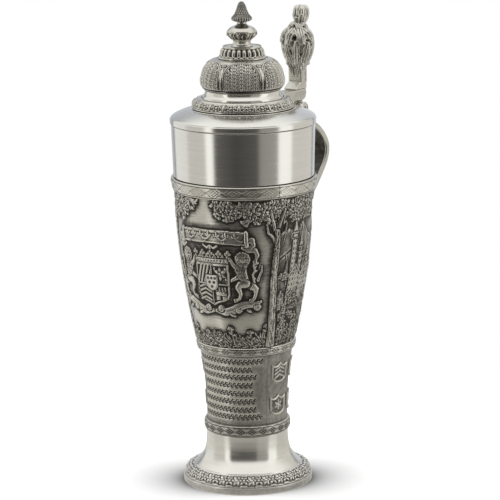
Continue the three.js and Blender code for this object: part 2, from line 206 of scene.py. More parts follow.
# ---------------------------------------------------------------- relief carving
class Relief:
    """A height map in millimetres. Rows follow v up the surface, columns follow the bearing."""

    def __init__(self, v, radius, bearings, middle=0.0):
        self.v = v
        self.radius = radius
        off = (bearings - middle + 180) % 360 - 180
        self.off = off
        self.order = np.argsort(off)
        self.sorted_off = off[self.order]
        self.u = np.radians(off)[None, :] * radius[:, None]
        self.h = np.zeros_like(self.u)
        self.tone = np.zeros_like(self.u)       # extra dark film laid on directly

    def window(self, u0, u1, v0, v1):
        rows = np.arange(*np.searchsorted(self.v, [v0, v1]))
        if not len(rows):
            return None
        r = self.radius[rows]
        low = math.degrees(min(u0 / r.min(), u0 / r.max()))
        high = math.degrees(max(u1 / r.min(), u1 / r.max()))
        a, b = np.searchsorted(self.sorted_off, [low, high])
        if a >= b:
            return None
        where = np.ix_(rows, self.order[a:b])
        return where, self.u[where], np.broadcast_to(self.v[rows][:, None], (len(rows), b - a))

    def raise_to(self, where, h, add=False):
        old = self.h[where]
        self.h[where] = old + h if add else np.maximum(old, h)

    def stamp(self, where, inside, near, shape, base):
        """Lays a form over what is there, with a narrow trench round it."""
        old = self.h[where]
        self.h[where] = np.where(inside, shape, np.where(near, np.minimum(old, base - 0.15), old))

    def dome(self, u, v, ru, rv, h, turn=0.0, base=0.0, add=False, moat=0.0):
        reach = max(ru, rv) + moat
        got = self.window(u - reach, u + reach, v - reach, v + reach)
        if got is None:
            return
        where, uu, vv = got
        c, s = math.cos(math.radians(turn)), math.sin(math.radians(turn))
        x, y = (uu - u) * c + (vv - v) * s, -(uu - u) * s + (vv - v) * c
        inside = 1 - (x / ru) ** 2 - (y / rv) ** 2
        shape = h * np.sqrt(np.clip(inside, 0, 1))
        if moat:
            near = (x / (ru + moat)) ** 2 + (y / (rv + moat)) ** 2 < 1
            self.stamp(where, inside > 0, near, base + shape, base)
            return
        self.raise_to(where, shape if add else np.where(inside > 0, base + shape, 0), add)

    def stroke(self, points, width, h, base=0.0, flat=0.0, cut=False, moat=0.0):
        """A ridge along a polyline; width may differ at each point. cut carves a groove instead."""
        p = np.asarray(points, float)
        w = np.full(len(p), float(width)) if np.isscalar(width) else np.asarray(width, float)
        m = w.max() + moat
        got = self.window(p[:, 0].min() - m, p[:, 0].max() + m, p[:, 1].min() - m, p[:, 1].max() + m)
        if got is None:
            return
        where, uu, vv = got
        best = np.full(uu.shape, 9.0)
        for i in range(len(p) - 1):
            d = p[i + 1] - p[i]
            t = np.clip(((uu - p[i, 0]) * d[0] + (vv - p[i, 1]) * d[1]) / max(d @ d, 1e-9), 0, 1)
            gap = np.hypot(uu - p[i, 0] - t * d[0], vv - p[i, 1] - t * d[1])
            best = np.minimum(best, gap / (w[i] + t * (w[i + 1] - w[i])))
        if cut:
            self.h[where] -= h * np.clip(1 - best, 0, 1)
            return
        edge = np.clip((best - flat) / (1 - flat), 0, 1)
        shape = base + h * np.sqrt(1 - edge ** 2)
        if moat:
            self.stamp(where, best < 1, best < 1 + moat / w.mean(), shape, base)
            return
        self.raise_to(where, np.where(best < 1, shape, 0))

    def plate(self, points, h, bevel=0.5, base=0.0, add=False, moat=0.0):
        """A raised polygon with bevelled edges."""
        p = np.asarray(points, float)
        got = self.window(p[:, 0].min() - moat, p[:, 0].max() + moat, p[:, 1].min() - moat,
                          p[:, 1].max() + moat)
        if got is None:
            return
        where, uu, vv = got
        gap = np.full(uu.shape, 99.0)
        inside = np.zeros(uu.shape, bool)
        for a, b in zip(p, np.roll(p, -1, 0)):
            d = b - a
            t = np.clip(((uu - a[0]) * d[0] + (vv - a[1]) * d[1]) / max(d @ d, 1e-9), 0, 1)
            gap = np.minimum(gap, np.hypot(uu - a[0] - t * d[0], vv - a[1] - t * d[1]))
            if abs(d[1]) > 1e-9:
                cross = (a[1] > vv) != (b[1] > vv)
                inside ^= cross & (uu < d[0] * (vv - a[1]) / d[1] + a[0])
        rise = np.clip(gap / bevel, 0, 1)
        shape = np.where(inside, base * (not add) + h * rise * (2 - rise), 0)
        if moat:
            self.stamp(where, inside, gap < moat, shape, base)
            return
        self.raise_to(where, shape, add)

    def leaf(self, u, v, turn, length, width, h, base=0.0, rib=0.12, moat=0.0):
        """A pointed leaf with its stem end at (u, v); turn is counted from +v towards +u."""
        tip_u, tip_v = u + length * math.sin(math.radians(turn)), v + length * math.cos(math.radians(turn))
        got = self.window(min(u, tip_u) - width, max(u, tip_u) + width, min(v, tip_v) - width,
                          max(v, tip_v) + width)
        if got is None:
            return
        where, uu, vv = got
        du, dv = (tip_u - u) / length, (tip_v - v) / length
        along = ((uu - u) * du + (vv - v) * dv) / length
        across = (uu - u) * dv - (vv - v) * du
        half = width / 2 * np.sin(np.pi * np.clip(along, 0, 1) ** 0.8) ** 0.75
        inside = (along > 0) & (along < 1) & (np.abs(across) < half)
        side = np.clip(np.abs(across) / np.maximum(half, 1e-6), 0, 1)
        shape = base + h * np.sqrt(1 - side ** 2) - rib * np.exp(-(across / 0.18) ** 2)
        if moat:
            near = (along > -0.05) & (along < 1.1) & (np.abs(across) < half + moat)
            self.stamp(where, inside, near, shape, base)
            return
        self.raise_to(where, np.where(inside, shape, 0))


# ---------------------------------------------------------------- materials
def pewter(name, slot, bright, dark, roughness, brush=0.25, brush_scale=900.0, grain_share=0.0):
    """Cast pewter. The patina attribute mixes a dark sulphide film into the polished metal."""
    material = bpy.data.materials.new(name)
    material.use_nodes = True
    material["slot"] = slot
    nodes, links = material.node_tree.nodes, material.node_tree.links
    nodes.clear()

    def node(kind, **settings):
        made = nodes.new(kind)
        for key, value in settings.items():
            setattr(made, key, value)
        return made

    def math_node(operation, a, b=0.0, clamp=False):
        made = node("ShaderNodeMath", operation=operation, use_clamp=clamp)
        for socket, value in zip(made.inputs, (a, b)):
            if isinstance(value, (int, float)):
                socket.default_value = value
            else:
                links.new(value, socket)
        return made.outputs[0]

    def noise(vector, scale, detail, rough=0.5):
        made = node("ShaderNodeTexNoise")
        made.inputs["Scale"].default_value = scale
        made.inputs["Detail"].default_value = detail
        made.inputs["Roughness"].default_value = rough
        links.new(vector, made.inputs["Vector"])
        return made.outputs["Fac"]

    place = node("ShaderNodeTexCoord").outputs["Object"]
    xyz = node("ShaderNodeSeparateXYZ")
    links.new(place, xyz.inputs[0])
    radius = math_node("SQRT", math_node("ADD", math_node("POWER", xyz.outputs[0], 2.0),
                                         math_node("POWER", xyz.outputs[1], 2.0)))
    safe = math_node("MAXIMUM", radius, 0.001)
    turn_x, turn_y = math_node("DIVIDE", xyz.outputs[0], safe), math_node("DIVIDE", xyz.outputs[1], safe)
    lathe = node("ShaderNodeCombineXYZ")
    links.new(math_node("MULTIPLY", turn_x, 1.6), lathe.inputs[0])
    links.new(math_node("MULTIPLY", turn_y, 1.6), lathe.inputs[1])
    links.new(math_node("MULTIPLY", math_node("ADD", xyz.outputs[2], math_node("MULTIPLY", radius, 0.8)),
                        brush_scale), lathe.inputs[2])
    lines = noise(lathe.outputs[0], 1.0, 3.0)
    broad = noise(place, 38.0, 4.0)
    grain = noise(place, 420.0, 3.0)

    attribute = node("ShaderNodeAttribute", attribute_name="patina")
    film = math_node("ADD", attribute.outputs["Fac"], math_node("MULTIPLY", math_node("SUBTRACT", broad,
                                                                                      0.5), 0.35))
    film = math_node("ADD", film, math_node("MULTIPLY", math_node("SUBTRACT", grain, 0.5), 0.30))
    shade = node("ShaderNodeMapRange", interpolation_type="SMOOTHSTEP")
    shade.inputs["From Min"].default_value = 0.12
    shade.inputs["From Max"].default_value = 0.92
    links.new(film, shade.inputs["Value"])

    tint = node("ShaderNodeMapRange")
    tint.inputs["To Min"].default_value = 0.90
    tint.inputs["To Max"].default_value = 1.06
    links.new(lines, tint.inputs["Value"])
    metal = node("ShaderNodeMix", data_type="RGBA", blend_type="MULTIPLY")
    metal.inputs["Factor"].default_value = 1.0
    metal.inputs["A"].default_value = (*bright, 1)
    links.new(tint.outputs[0], metal.inputs["B"])
    colour = node("ShaderNodeMix", data_type="RGBA")
    colour.inputs["B"].default_value = (*dark, 1)
    links.new(metal.outputs["Result"], colour.inputs["A"])
    links.new(shade.outputs[0], colour.inputs["Factor"])

    rough = math_node("ADD", roughness, math_node("MULTIPLY", shade.outputs[0], 0.30))
    rough = math_node("ADD", rough, math_node("MULTIPLY", math_node("SUBTRACT", lines, 0.5), 0.16), True)
    bump = node("ShaderNodeBump")
    bump.inputs["Strength"].default_value = brush
    bump.inputs["Distance"].default_value = 0.00008
    height = math_node("ADD", lines, math_node("MULTIPLY", grain, grain_share))
    links.new(height, bump.inputs["Height"])

    tangent = node("ShaderNodeTangent", direction_type="RADIAL", axis="Z")
    shader = node("ShaderNodeBsdfPrincipled")
    shader.inputs["Anisotropic"].default_value = 0.7 if grain_share < 0.2 else 0.2
    shader.inputs["Anisotropic Rotation"].default_value = 0.25
    links.new(tangent.outputs[0], shader.inputs["Tangent"])
    links.new(colour.outputs["Result"], shader.inputs["Base Color"])
    links.new(rough, shader.inputs["Roughness"])
    links.new(bump.outputs[0], shader.inputs["Normal"])
    links.new(math_node("SUBTRACT", 1.0, math_node("MULTIPLY", shade.outputs[0], 0.35)),
              shader.inputs["Metallic"])
    output = node("ShaderNodeOutputMaterial")
    links.new(shader.outputs[0], output.inputs["Surface"])
    return material


BARE = (0.66, 0.645, 0.595)             # colour of clean pewter
TARNISH = (0.05, 0.045, 0.038)          # colour of the film in the hollows of turned pieces
POLISHED = pewter("polished_pewter", "satin_pewter", BARE, TARNISH, roughness=0.14, brush=0.12)
SATIN = pewter("satin_pewter", "satin_pewter", BARE, TARNISH, roughness=0.21, brush=0.12)
BRUSHED = pewter("brushed_pewter", "satin_pewter", (0.64, 0.63, 0.59), TARNISH, roughness=0.19, brush=0.22,
                 brush_scale=1500.0)
ANTIQUE = pewter("antique_cast_pewter", "antique_pewter", (0.56, 0.54, 0.485), (0.032, 0.028, 0.022),
                 roughness=0.24, brush=0.35, brush_scale=900.0, grain_share=0.5)
STEEL = pewter("turned_steel", "steel_fittings", (0.56, 0.57, 0.59), (0.06, 0.06, 0.06), roughness=0.22,
               brush=0.3, brush_scale=1500.0)


# ---------------------------------------------------------------- patina
def set_patina(obj, values):
    """Stores how much dark film each vertex carries, from 0 (rubbed bright) to 1 (black)."""
    attribute = obj.data.attributes.new("patina", "FLOAT", "POINT")
    attribute.data.foreach_set("value", np.clip(np.asarray(values, np.float32).ravel(), 0, 1))


def rub_free_form(obj, rounds, film=0.1, strength=2.4):
    """Patina of a free-form piece: dark where smoothing would push the surface outwards."""
    mesh = obj.data
    n = len(mesh.vertices)
    co = np.empty(n * 3)
    mesh.vertices.foreach_get("co", co)
    co = co.reshape(-1, 3) / MM
    normal = np.empty(n * 3)
    mesh.vertices.foreach_get("normal", normal)
    edges = np.empty(len(mesh.edges) * 2, np.int64)
    mesh.edges.foreach_get("vertices", edges)
    a, b = edges.reshape(-1, 2).T
    count = np.maximum(np.bincount(np.r_[a, b], minlength=n), 1)
    moved = co.copy()
    for _ in range(rounds):
        total = np.stack([
            np.bincount(a, moved[b, k], n) + np.bincount(b, moved[a, k], n) for k in range(3)
        ], 1)
        moved = 0.5 * moved + 0.5 * total / count[:, None]
    hollow = np.einsum("ij,ij->i", moved - co, normal.reshape(-1, 3))
    set_patina(obj, film + strength * hollow)


# ---------------------------------------------------------------- levels from the CAD frame
def level(node, end):
    """Height of the bottom (0) or top (1) of a CAD node, in millimetres."""
    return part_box(node)[end][2] / MM


def part_of(loop, start, end):
    """Row numbers from the outline point nearest start to the one nearest end, and their arc length."""
    a, b = (int(np.argmin(np.linalg.norm(loop - np.asarray(p), axis=1))) for p in (start, end))
    rows = np.arange(a, b + 1) if a <= b else np.r_[a:len(loop), 0:b + 1]
    steps = np.linalg.norm(np.diff(loop[rows], axis=0), axis=1)
    return rows, np.r_[0, np.cumsum(steps)]


def repeated(loop, columns, start, end, count, draw):
    """Relief of count equal units round a band of an outline. draw(unit, pitch, length) carves one."""
    h = np.zeros((len(loop), columns))
    rows, v = part_of(loop, start, end)
    span = 360 / count
    local = (np.arange(columns // count) + 0.5) * 360 / columns - span / 2
    unit = Relief(v, loop[rows, 0], local)
    draw(unit, math.radians(span) * loop[rows, 0].mean(), v[-1])
    h[rows] = np.tile(unit.h, (1, count))
    return h


# ---------------------------------------------------------------- turned pieces of the vessel
def acanthus_unit(unit, pitch, length):
    """One leaf of a garland: a ribbed blade with curled lobes on each side, and a round bud beside it."""
    for shift in (-pitch, 0, pitch):
        for along, size in ((0.16, 0.8), (0.50, 1.0), (0.84, 0.75)):
            unit.dome(shift + pitch / 2, along * length, size, size * 0.85, 0.45, base=0.1, moat=0.3)
        for along, reach, tilt in ((0.80, 0.30, 35), (0.52, 0.42, 62), (0.24, 0.36, 88)):
            for side in (-1, 1):
                unit.leaf(shift, (along - 0.18) * length, side * tilt, reach * pitch * 1.05, 0.30 * length,
                          0.45, 0.15,
                          0.1, moat=0.25)
                tip = shift + side * reach * pitch * 0.86 * math.sin(math.radians(tilt))
                unit.dome(tip, (along - 0.02) * length, 0.5, 0.5, 0.4, base=0.25, moat=0.2)
        unit.leaf(shift, 0.02 * length, 0, 0.96 * length, 0.20 * pitch, 0.5, 0.4, 0.18, moat=0.25)


def rosette_unit(unit, pitch, length):
    """One rosette of a garland with a spray of leaves on each side of it."""
    middle = 0.5 * length
    for shift in (-pitch, 0, pitch):
        for turn, reach in ((-145, 0.40), (-35, 0.40), (35, 0.40), (145, 0.40), (-90, 0.34), (90, 0.34)):
            unit.leaf(shift + pitch / 2, middle, turn, reach * length, 0.22 * length, 0.4, 0.15, 0.12,
                      moat=0.22)
        unit.dome(shift + pitch / 2, middle, 0.6, 0.6, 0.35, base=0.4, moat=0.2)
        for k in range(6):
            unit.leaf(shift, middle, 60 * k + 30, 0.40 * length, 0.27 * length, 0.45, 0.2, 0.15, moat=0.22)
        unit.dome(shift, middle, 0.9, 0.8, 0.4, base=0.5, moat=0.2)
        for side in (-1, 1):
            unit.leaf(shift + 0.27 * pitch, middle + side * 0.44 * length, 90, 0.46 * pitch, 0.14 * length,
                      0.3, 0.1,
                      0.05, moat=0.15)


def foot():
    loop = outline(
        [(38.4, 0.0)], [(39.0, 0.5), (39.0, 3.5)], [(38.8, 4.1)], [(38.1, 4.4)],
        [(38.1, 4.7), (37.8, 6.2), (37.0, 7.6), (35.6, 9.0), (33.9, 10.0), (32.6, 10.4)],
        [(32.3, 10.6), (32.0, 11.2)],
        [(31.8, 11.3), (28.7, 14.5), (26.4, 17.8), (25.1, 22.5), (24.6, 28.0), (24.6, 32.0)],
        [(24.3, 32.2)], [(21.2, 32.2)],
        [(21.2, 31.0), (21.4, 21.0), (24.6, 15.0), (33.0, 8.0), (35.2, 3.0)], [(35.4, 2.1)],
        [(36.6, 2.1)], [(36.6, 0.0)],
    )
    count, columns = 26, 26 * 26
    garland = repeated(loop, columns, (38.1, 4.9), (32.7, 10.4), count, rosette_unit)
    rows, along = part_of(loop, (38.1, 4.9), (32.7, 10.4))
    in_band = np.zeros((len(loop), 1))
    in_band[rows, 0] = np.clip(np.minimum(along, along[-1] - along) / 0.4, 0, 1)
    garland = box_blur(garland, 1, 1) - 0.12 * (garland == 0) * in_band

    def film(points):
        return 0.03 + 0.45 * in_band[:, 0] + 0.44 * (points[:, 1] < 4.6)

    turned("foot", loop, columns, SATIN, "vessel", lambda *_: garland, film, strength=2.8)


def plain_turned():
    """Lip band, floor, base plate, lid shoulder and collar: smooth, with lathe lines only."""
    top = level("lip_band", 1)
    band = outline(
        [(41.0, top - 35.2), (41.0, top - 31.6)],
        [(41.6, top - 31.4)], [(42.0, top - 31.0), (42.9, top - 0.4)], [(42.5, top)], [(41.2, top)],
        [(40.9, top - 0.6), (40.0, top - 32.2)], [(40.0, top - 35.2)], step=0.8,
    )
    turned("lip_band", band, 240, BRUSHED, "vessel")
    floor = outline([(0, 32.4)], [(22.2, 32.4)], [(22.2, 34.7)], [(0, 34.7)], step=1.2)
    turned("vessel_floor", floor, 120, BRUSHED, "vessel", film=0.15, poles=True)
    plate = outline([(0, 0.1)], [(36.3, 0.1)], [(36.3, 1.9)], [(0, 1.9)], step=1.2)
    turned("foot_base_plate", plate, 180, BRUSHED, "vessel", film=0.1, poles=True)
    shoulder = outline(
        [(40.1, 215.4), (40.1, 219.3)], [(43.2, 219.5)],
        [(43.5, 219.8), (43.55, 222.3)], [(43.4, 222.5)],
        [(43.3, 222.6), (42.8, 223.5), (40.8, 224.8), (37.0, 226.5), (33.4, 227.7), (31.6, 228.15)],
        [(31.4, 228.05)], [(31.2, 228.35)], [(24.1, 228.6)], [(24.1, 226.8), (34.5, 225.8)],
        [(34.5, 225.8), (37.6, 223.8), (38.5, 221.0)], [(38.5, 215.4)], step=0.25,
    )
    turned("lid_shoulder", shoulder, 280, BRUSHED, "lid")
    collar = outline(
        [(24.3, 228.9)], [(24.3, 234.3)],
        [(24.2, 234.4), (23.8, 235.6), (22.8, 237.0), (22.3, 238.4), (22.5, 239.3)], [(22.8, 239.4)],
        [(23.0, 239.5), (23.0, 240.2)], [(20.4, 240.2)],
        [(20.4, 240.0), (20.5, 236.5), (22.2, 233.6)], [(22.2, 228.9)],
    )
    # painted shadow: the collar's top flange, under the dome's overhang, carries a dark band in the film
    turned("lid_collar", collar, 200, POLISHED, "lid", film=lambda points: 0.8 * (points[:, 1] > 239.3))


# ---------------------------------------------------------------- wall castings
WALL_LOW = [(24.3, 39.0), (24.3, 47.0), (24.9, 59.0), (26.1, 71.0), (27.9, 82.8)]
WALL_HIGH = [(29.1, 88.2), (32.2, 103.0), (35.5, 122.0), (38.1, 141.0), (40.0, 162.0), (41.1, 179.5)]
RINGS = [
    [(24.7, 32.4), (25.6, 33.0), (25.9, 34.0), (25.9, 37.6), (25.6, 38.4), (24.6, 38.9)],
    [(28.2, 82.95), (29.2, 83.3), (29.6, 84.2), (30.0, 86.6), (29.9, 87.5), (29.2, 88.1)],
    [(41.3, 179.7), (42.3, 180.1), (42.8, 181.2), (43.6, 185.6), (43.5, 187.0), (42.9, 187.5)],
]
ROWS = [24, 116, 20, 212, 26]
STAVE_COLUMNS = 232


def even(points, count):
    """The curve through the points, resampled to count evenly spaced rows."""
    curve = curve_through(points, 0.2)
    s = np.r_[0, np.cumsum(np.linalg.norm(np.diff(curve, axis=0), axis=1))]
    t = np.linspace(0, s[-1], count)
    return np.stack([np.interp(t, s, curve[:, k]) for k in range(2)], 1)


def lozenge_ring(relief, low, high, bearings):
    """Bead edges with a chain of hatched lozenges between smooth triangular spandrels."""
    rows = (relief.v >= low) & (relief.v <= high)
    edge = 0.9
    v = relief.v[rows][:, None]
    half = (high - low) / 2 - edge
    y = (v - (low + high) / 2) / half
    cell = ((bearings - PANEL_TURN) / LOZENGE) % 1.0
    x = (2 * cell - 1)[None, :]
    inside = 1 - np.abs(x) - np.abs(y)
    wide = LOZENGE * math.pi / 180 * relief.radius[rows][:, None] / 2
    a, b = x * wide * 0.75 + y * half, x * wide * 0.75 - y * half
    hatch = 0.5 * (np.abs(np.sin(a * 1.9)) + np.abs(np.sin(b * 1.9)))
    lozenge = -0.27 + 0.27 * hatch
    spandrel = 0.12 * np.clip(-inside * 6, 0, 1)
    frame_line = np.exp(-(inside / 0.09) ** 2)
    h = np.where(inside > 0, lozenge, spandrel) - 0.30 * frame_line * (inside < 0.02)
    h = h + 0.30 * np.exp(-((inside - 0.10) / 0.07) ** 2)
    bead = np.abs(y) > 1
    h = np.where(bead, 0.12, h)
    groove = np.exp(-((np.abs(y) - 1.0) / 0.08) ** 2)
    relief.h[rows] = h - 0.38 * groove


def foliage(relief, u, v, ru, rv, count, rng, size=1.0, tall=1.0):
    """A mass of rounded leaves, each laid over the last, fuller in the middle."""
    leaves = []
    for _ in range(count):
        angle, reach = rng.uniform(0, 2 * math.pi), math.sqrt(rng.uniform(0, 1))
        lift = tall * (rng.uniform(0.05, 0.55) + 0.25 * (1 - reach))
        leaves.append((lift, u + ru * reach * math.cos(angle), v + rv * reach * math.sin(angle),
                       size * rng.uniform(0.75, 1.15), rng.uniform(0.55, 0.8), rng.uniform(15, 165)))
    for lift, x, y, r, squash, turn in sorted(leaves):
        outward = math.degrees(math.atan2(x - u, y - v + 0.4)) + turn - 90
        relief.leaf(x - r * math.sin(math.radians(outward)), y - r * math.cos(math.radians(outward)), outward,
                    2.5 * r, 2.2 * r * squash, 0.42, lift, 0.14, moat=0.36)


def bush(relief, u, v, size, rng):
    foliage(relief, u, v, size, size * 0.8, int(8 * size), rng, 0.72, 0.95)


def bark(relief, points, widths, rng, h=1.1):
    """A trunk or branch covered in short upright flakes of bark."""
    relief.stroke(points, widths, h, flat=0.3, moat=0.5)
    p, w = np.asarray(points, float), np.asarray(widths, float)
    length = np.r_[0, np.cumsum(np.linalg.norm(np.diff(p, axis=0), axis=1))]
    for _ in range(int(length[-1] * w.mean() * 0.9)):
        at = rng.uniform(0, length[-1])
        x, y, r = (float(np.interp(at, length, row)) for row in (p[:, 0], p[:, 1], w))
        x += rng.uniform(-0.8, 0.8) * r
        relief.stroke([(x, y), (x + rng.uniform(-0.2, 0.2), y + rng.uniform(1.2, 3.0))], 0.26, 0.42, cut=True)


def tree(relief, u_of, rng, side):
    """Half of a tree that stands on a seam. u_of(v) is the seam, side points into this panel."""
    levels = [89, 96, 112, 134, 152, 160]
    half = [2.9, 2.5, 2.2, 2.0, 1.9, 1.8]
    wobble = [0.0, 0.0, -0.6, -0.9, 0.6, 0.3]
    u = u_of(160)
    for k in range(6):
        foliage(relief, u + side * (2 + 3.0 * k), 173.6 + rng.uniform(-1.5, 1.5), 3.6, 5.6 - 0.35 * k, 34,
                rng, 1.05)
    foliage(relief, u - side * 3, 173.6, 4.2, 5.6, 40, rng, 1.05)
    foliage(relief, u + side * 4, 167, 3.2, 2.6, 14, rng, 1.05)
    bark(relief, [(u + side * 0.5, 152), (u + side * 3.0, 157), (u + side * 5.6, 159.5),
                  (u + side * 6.2, 164.5)],
         [1.1, 0.85, 0.7, 0.5], rng)
    bark(relief, [(u, 157), (u - 2.0, 165), (u - 3.4, 172.8)], [1.5, 1.1, 0.8], rng, 1.2)
    bark(relief, [(u, 157), (u + 1.6, 165.8), (u + 4.4, 173)], [1.5, 1.1, 0.8], rng, 1.2)
    bark(relief, [(u_of(v) + o, v) for v, o in zip(levels, wobble)], half, rng, 1.2)
    foliage(relief, u + side * 1.5, 177.4, 5.5, 1.4, 14, rng, 1.0)


def seam(relief, side):
    """Gives the distance from the panel's middle to its seam, at a height."""
    return lambda v: side * math.radians(PANEL / 2) * float(np.interp(v, relief.v, relief.radius))


def crown_foliage(relief, masses, rng):
    for u, v, ru, rv, count in masses:
        foliage(relief, u, v, ru, rv, count, rng, 1.1)


def meadow(relief, low, high, rng):
    """Rough ground with grass, broad leaves, stems and flower heads."""
    for _ in range(190):
        u, v = rng.uniform(low, high), rng.uniform(88.8, 93.0)
        relief.dome(u, v, rng.uniform(0.6, 1.2), rng.uniform(0.4, 0.7), 0.4, base=rng.uniform(0, 0.3),
                    moat=0.35)
    for u in np.arange(low + 1, high, 2.1):
        root, foot_v = u + rng.uniform(-0.6, 0.6), 89.2 + rng.uniform(0, 2.5)
        height = rng.uniform(5.0, 10.0)
        for turn in np.linspace(-56, 56, 9) + rng.uniform(-6, 6, 9):
            relief.leaf(root, foot_v, turn, height * rng.uniform(0.5, 1.0), 0.95, 0.5, rng.uniform(0.1, 0.5),
                        0.15,
                        moat=0.32)
    for u in np.arange(low + 4, high, 9.6):
        u = u + rng.uniform(-1.5, 1.5)
        top, bend = rng.uniform(96.5, 102), rng.uniform(-1.4, 1.4)
        relief.stroke([(u, 91), (u + 0.3 * bend, 95), (u + bend, top)], 0.36, 0.5, 0.4, moat=0.35)
        for k in range(2):
            relief.leaf(u + 0.4 * bend, top - 4.5 + k, 60 - 120 * k, 3.0, 1.2, 0.45, 0.3, moat=0.3)
        for turn in (-75, -45, -18, 12, 42, 74):
            relief.leaf(u + bend, top - 0.6, turn, 2.3, 1.0, 0.45, 0.4, 0.1, moat=0.22)


def lion(relief, side, middle, rng):
    """Rampant lion with its paws on the shield and its curled head turned outwards."""
    def at(*points):
        return [(middle + side * u, v) for u, v in points]

    tail = at((22.8, 128.4), (25.6, 129.8), (25.0, 134.6), (26.6, 137.2), (25.9, 140.4), (27.5, 141.8))
    relief.stroke(tail, [0.7, 0.6, 0.55, 0.55, 0.55, 0.7], 0.7, 0.1)
    for turn in (-40, 0, 40):
        relief.leaf(*at((26.6, 141.0))[0], side * (30 + turn), 2.8, 1.2, 0.6, 0.3)
    for u, v in ((25.4, 131.8), (26.2, 136.4), (26.0, 139.0)):
        relief.leaf(*at((u, v))[0], side * 65, 2.0, 1.0, 0.5, 0.2)
    far_limbs = [
        ([(17.6, 135.4), (15.6, 132.8), (13.4, 131.8), (11.6, 130.8)], [1.6, 1.2, 0.95, 0.75]),
        ([(21.4, 128.6), (24.4, 127.2), (26.1, 125.9), (25.7, 122.6), (24.6, 119.8), (23.0, 118.5)],
         [2.6, 2.2, 1.6, 0.95, 0.85, 0.85]),
    ]
    near_limbs = [
        ([(18.0, 139.0), (15.2, 139.4), (13.6, 141.4), (12.5, 144.0)], [1.7, 1.3, 1.0, 0.8]),
        ([(20.3, 129.4), (17.4, 128.6), (15.6, 126.8), (17.0, 122.8), (15.9, 119.8), (14.0, 118.7)],
         [2.6, 2.1, 1.6, 0.95, 0.85, 0.85]),
    ]

    def draw_limbs(limbs, base):
        for points, widths in limbs:
            relief.stroke(at(*points), widths, 0.75, base, moat=0.4)
            end_u, end_v = points[-1]
            for toe in (-0.75, 0.0, 0.75):
                relief.dome(*at((end_u - 0.8, end_v + toe))[0], 0.75, 0.42, 0.4, base=base + 0.3, moat=0.2)

    draw_limbs(far_limbs, 0.15)
    relief.stroke(at((18.4, 140.0), (18.3, 137.0), (19.3, 133.5), (20.6, 130.6), (21.0, 128.8)),
                  [3.0, 3.3, 2.6, 2.2, 2.6], 0.9, 0.2, moat=0.5)
    draw_limbs(near_limbs, 0.35)
    for row in range(9):
        v = 131.6 + 1.05 * row
        centre = float(np.interp(v, [131, 134, 138, 141], [20.2, 19.2, 18.3, 18.4]))
        reach = float(np.interp(v, [131, 134, 138, 141], [1.4, 2.2, 3.0, 3.0]))
        for k in np.arange(-reach, reach + 0.1, 0.95):
            jitter = rng.uniform(-0.2, 0.2)
            relief.leaf(*at((centre + k + jitter, v))[0], 180 + side * 14 * k / reach, 1.9, 1.05, 0.3,
                        0.95 - 0.12 * (k / reach) ** 2, 0.05, moat=0.22)
    head = at((19.7, 144.2))[0]
    for reach, count, lift in ((1.0, 19, 0.45), (0.66, 15, 0.75)):
        for angle in sorted((2 * math.pi * (k + 0.5 * lift) / count for k in range(count)), key=math.sin):
            out_u, out_v = math.cos(angle), math.sin(angle)
            root = (head[0] + 1.0 * out_u, head[1] - 0.2 + 1.0 * out_v)
            relief.leaf(*root, math.degrees(math.atan2(0.8 * out_u, out_v - 1.05)),
                        reach * (3.3 - 1.7 * out_v), 1.05,
                        0.35, lift, 0.05, moat=0.22)
    for reach, count, lift in ((3.7, 15, 0.5), (2.5, 11, 0.8)):
        for k in range(count):
            angle = 2 * math.pi * (k + lift) / count
            if math.sin(angle) > -0.75:
                curl = (head[0] + reach * math.cos(angle), head[1] + 0.2 + 0.95 * reach * math.sin(angle))
                relief.dome(*curl, 0.85, 0.85, 0.42, base=lift, moat=0.2)
                relief.dome(*curl, 0.32, 0.32, -0.3, add=True)
    relief.dome(*head, 1.75, 1.95, 0.5, base=1.1, moat=0.25)
    for eye in (-0.7, 0.7):
        relief.dome(head[0] + 1.5 * eye, head[1] + 1.45, 0.5, 0.55, 0.3, base=1.15, moat=0.15)
        relief.dome(head[0] + eye, head[1] + 0.35, 0.36, 0.28, -0.35, add=True)
    relief.dome(head[0], head[1] - 0.85, 0.8, 0.6, 0.35, base=1.3, moat=0.12)
    relief.stroke([(head[0], head[1] + 0.9), (head[0], head[1] - 0.4)], [0.3, 0.42], 0.25, 1.4)
    relief.stroke([(head[0] - 0.5, head[1] - 1.0), (head[0] + 0.5, head[1] - 1.0)], 0.2, 0.3, cut=True)


SHIELD = [(-11.2, 141.0), (11.1, 141.2), (11.2, 130.2), (10.8, 121.7), (9.4, 119.0), (6.8, 117.7),
          (3.4, 116.7), (0, 114.8), (-3.4, 116.6), (-6.6, 117.6), (-9.0, 118.8), (-10.6, 121.4),
          (-11.2, 130.2)]


